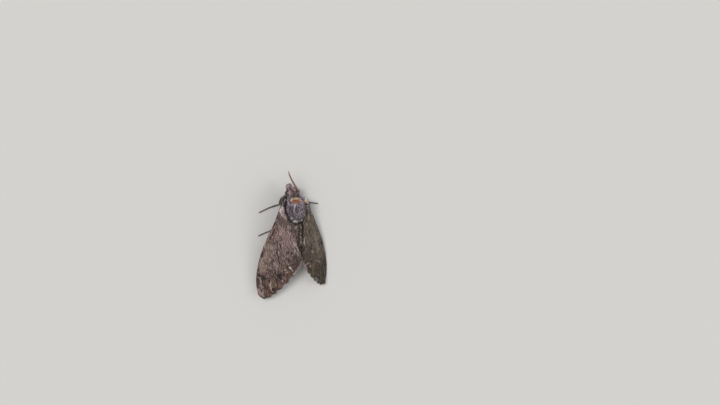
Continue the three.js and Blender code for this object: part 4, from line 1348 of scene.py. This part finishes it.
thorns = []
for name, (root, knee, ankle, toe) in legTurns.items():
    way = unit(np.array(toe) - soleOf(ankle, toe))
    aside = np.cross(way, (0, 0, 1))
    for hand in (1, -1):
        base = np.array(toe) - 0.1 * way + 0.13 * hand * aside + (0, 0, 0.06)
        thorns.append(thorn(base, way + 0.45 * hand * aside + (0, 0, 0.15), horns["claw"], horns["clawThick"],
                            -0.12 * hand * aside + (0, 0, -0.42)))
    shin = unit(np.array(ankle) - knee)
    across = unit(np.cross(shin, (0, 0, 1)))
    for place in spurPlaces[name.split("_")[0]]:
        for hand, share in ((1, 1.0), (-1, 0.75)):
            base = np.array(knee) + place * (np.array(ankle) - knee) + 0.4 * hand * across + (0, 0, -0.3)
            thorns.append(thorn(base, shin + 0.5 * hand * across + (0, 0, -0.1), horns["spur"] * share,
                                horns["spurThick"], (0, 0, 0.12)))
points, faces = join(*thorns)
points[:, 2] = np.maximum(points[:, 2], floorGap)
addPiece("clawsAndSpurs", makeMesh("claws", points, faces), clawHorn)

tongue = {"centre": (0, -4.3, -3.9), "turns": 2.6, "from": 0.95, "to": 0.3, "thick": 0.15, "start": 1.2}
coil = []
for t in np.linspace(0, 1, 60):
    angle = 2 * math.pi * tongue["turns"] * t + tongue["start"]
    radius = tongue["from"] + (tongue["to"] - tongue["from"]) * t
    coil.append((0, tongue["centre"][1] + radius * math.cos(angle),
                 tongue["centre"][2] + radius * math.sin(angle)))
widths = [(place, share * tongue["thick"], share * tongue["thick"]) for place, share in ((0, 1), (1, 0.5))]
points, faces = loft(coil, widths, 12, 200, up=(1, 0, 0))
addPiece("tongue", makeMesh("tongue", inHead(points), faces), tongueHorn)
print("claws and tongue done")

# floor, lights and camera

room = {"floorColour": "#dedcd8", "floorReach": 12.0, "sky": 0.42}
floorFinish, floorTree, floorShader = newMaterial("paleFloor")  # matt painted board, hardly any shine
feed(floorTree, floorShader, {"Base Color": (*linear(room["floorColour"]), 1), "Roughness": 0.9})
floorMesh = bpy.data.meshes.new("floor")
reach = room["floorReach"]
corners = [(-reach, -reach, 0), (reach, -reach, 0), (reach, reach, 0), (-reach, reach, 0)]
floorMesh.from_pydata(corners, [], [(0, 1, 2, 3)])
floorMesh.materials.append(floorFinish)
floor = bpy.data.objects.new("floor", floorMesh)
bpy.context.scene.collection.objects.link(floor)

world = bpy.data.worlds.new("softRoom")
world.use_nodes = True
feed(world.node_tree, world.node_tree.nodes["Background"], {
    "Color": (1, 1, 1, 1), "Strength": room["sky"]})
bpy.context.scene.world = world


def addSun(name, place, strength, spread):  # spread is how wide the light looks, in degrees
    light = bpy.data.lights.new(name, "SUN")
    light.energy = strength
    light.angle = math.radians(spread)
    lamp = bpy.data.objects.new(name, light)
    lamp.location = Vector(place)
    lamp.rotation_euler = (-Vector(place)).to_track_quat("-Z", "Y").to_euler()
    bpy.context.scene.collection.objects.link(lamp)


addSun("keyLight", (0.55, -0.35, 0.75), 1.68, 17)
addSun("fillLight", (-0.7, 0.1, 0.6), 0.37, 36)

view = {"aside": 24.2, "ahead": 14.5, "roll": 2.2, "pixelsPerMm": 1.763, "lens": 200, "sensor": 36}
frameSize = (720, 405)
aimPixel = (287.8, 205.4)  # where the middle of the thorax shows
aimHeight = 1.5  # mm above the floor, under the thorax
phi, psi, roll = (math.radians(view[key]) for key in ("aside", "ahead", "roll"))
towards = Vector((math.sin(phi) * math.cos(psi), -math.sin(psi), math.cos(phi) * math.cos(psi)))
upright = (Vector((0, -1, 0)) - Vector((0, -1, 0)).dot(towards) * towards).normalized()
upright = math.cos(roll) * upright + math.sin(roll) * upright.cross(towards)
across = upright.cross(towards)
aside = (frameSize[0] / 2 - aimPixel[0]) / view["pixelsPerMm"]
above = (aimPixel[1] - frameSize[1] / 2) / view["pixelsPerMm"]
target = Vector(mothPlace) + Vector((0, 0, aimHeight)) + aside * across + above * upright
distance = frameSize[0] / view["pixelsPerMm"] * view["lens"] / view["sensor"]
camera = bpy.data.cameras.new("camera")
camera.lens = view["lens"]
camera.sensor_width = view["sensor"]
camera.clip_end = 10
cameraObject = bpy.data.objects.new("camera", camera)
turn = Matrix((across, upright, towards)).transposed()
cameraObject.matrix_world = Matrix.Translation((target + distance * towards) * mm) @ turn.to_4x4()
bpy.context.scene.collection.objects.link(cameraObject)
bpy.context.scene.camera = cameraObject
bpy.context.scene.view_settings.view_transform = "Standard"

for made in list(templates.objects):
    bpy.data.objects.remove(made)
bpy.data.collections.remove(templates)
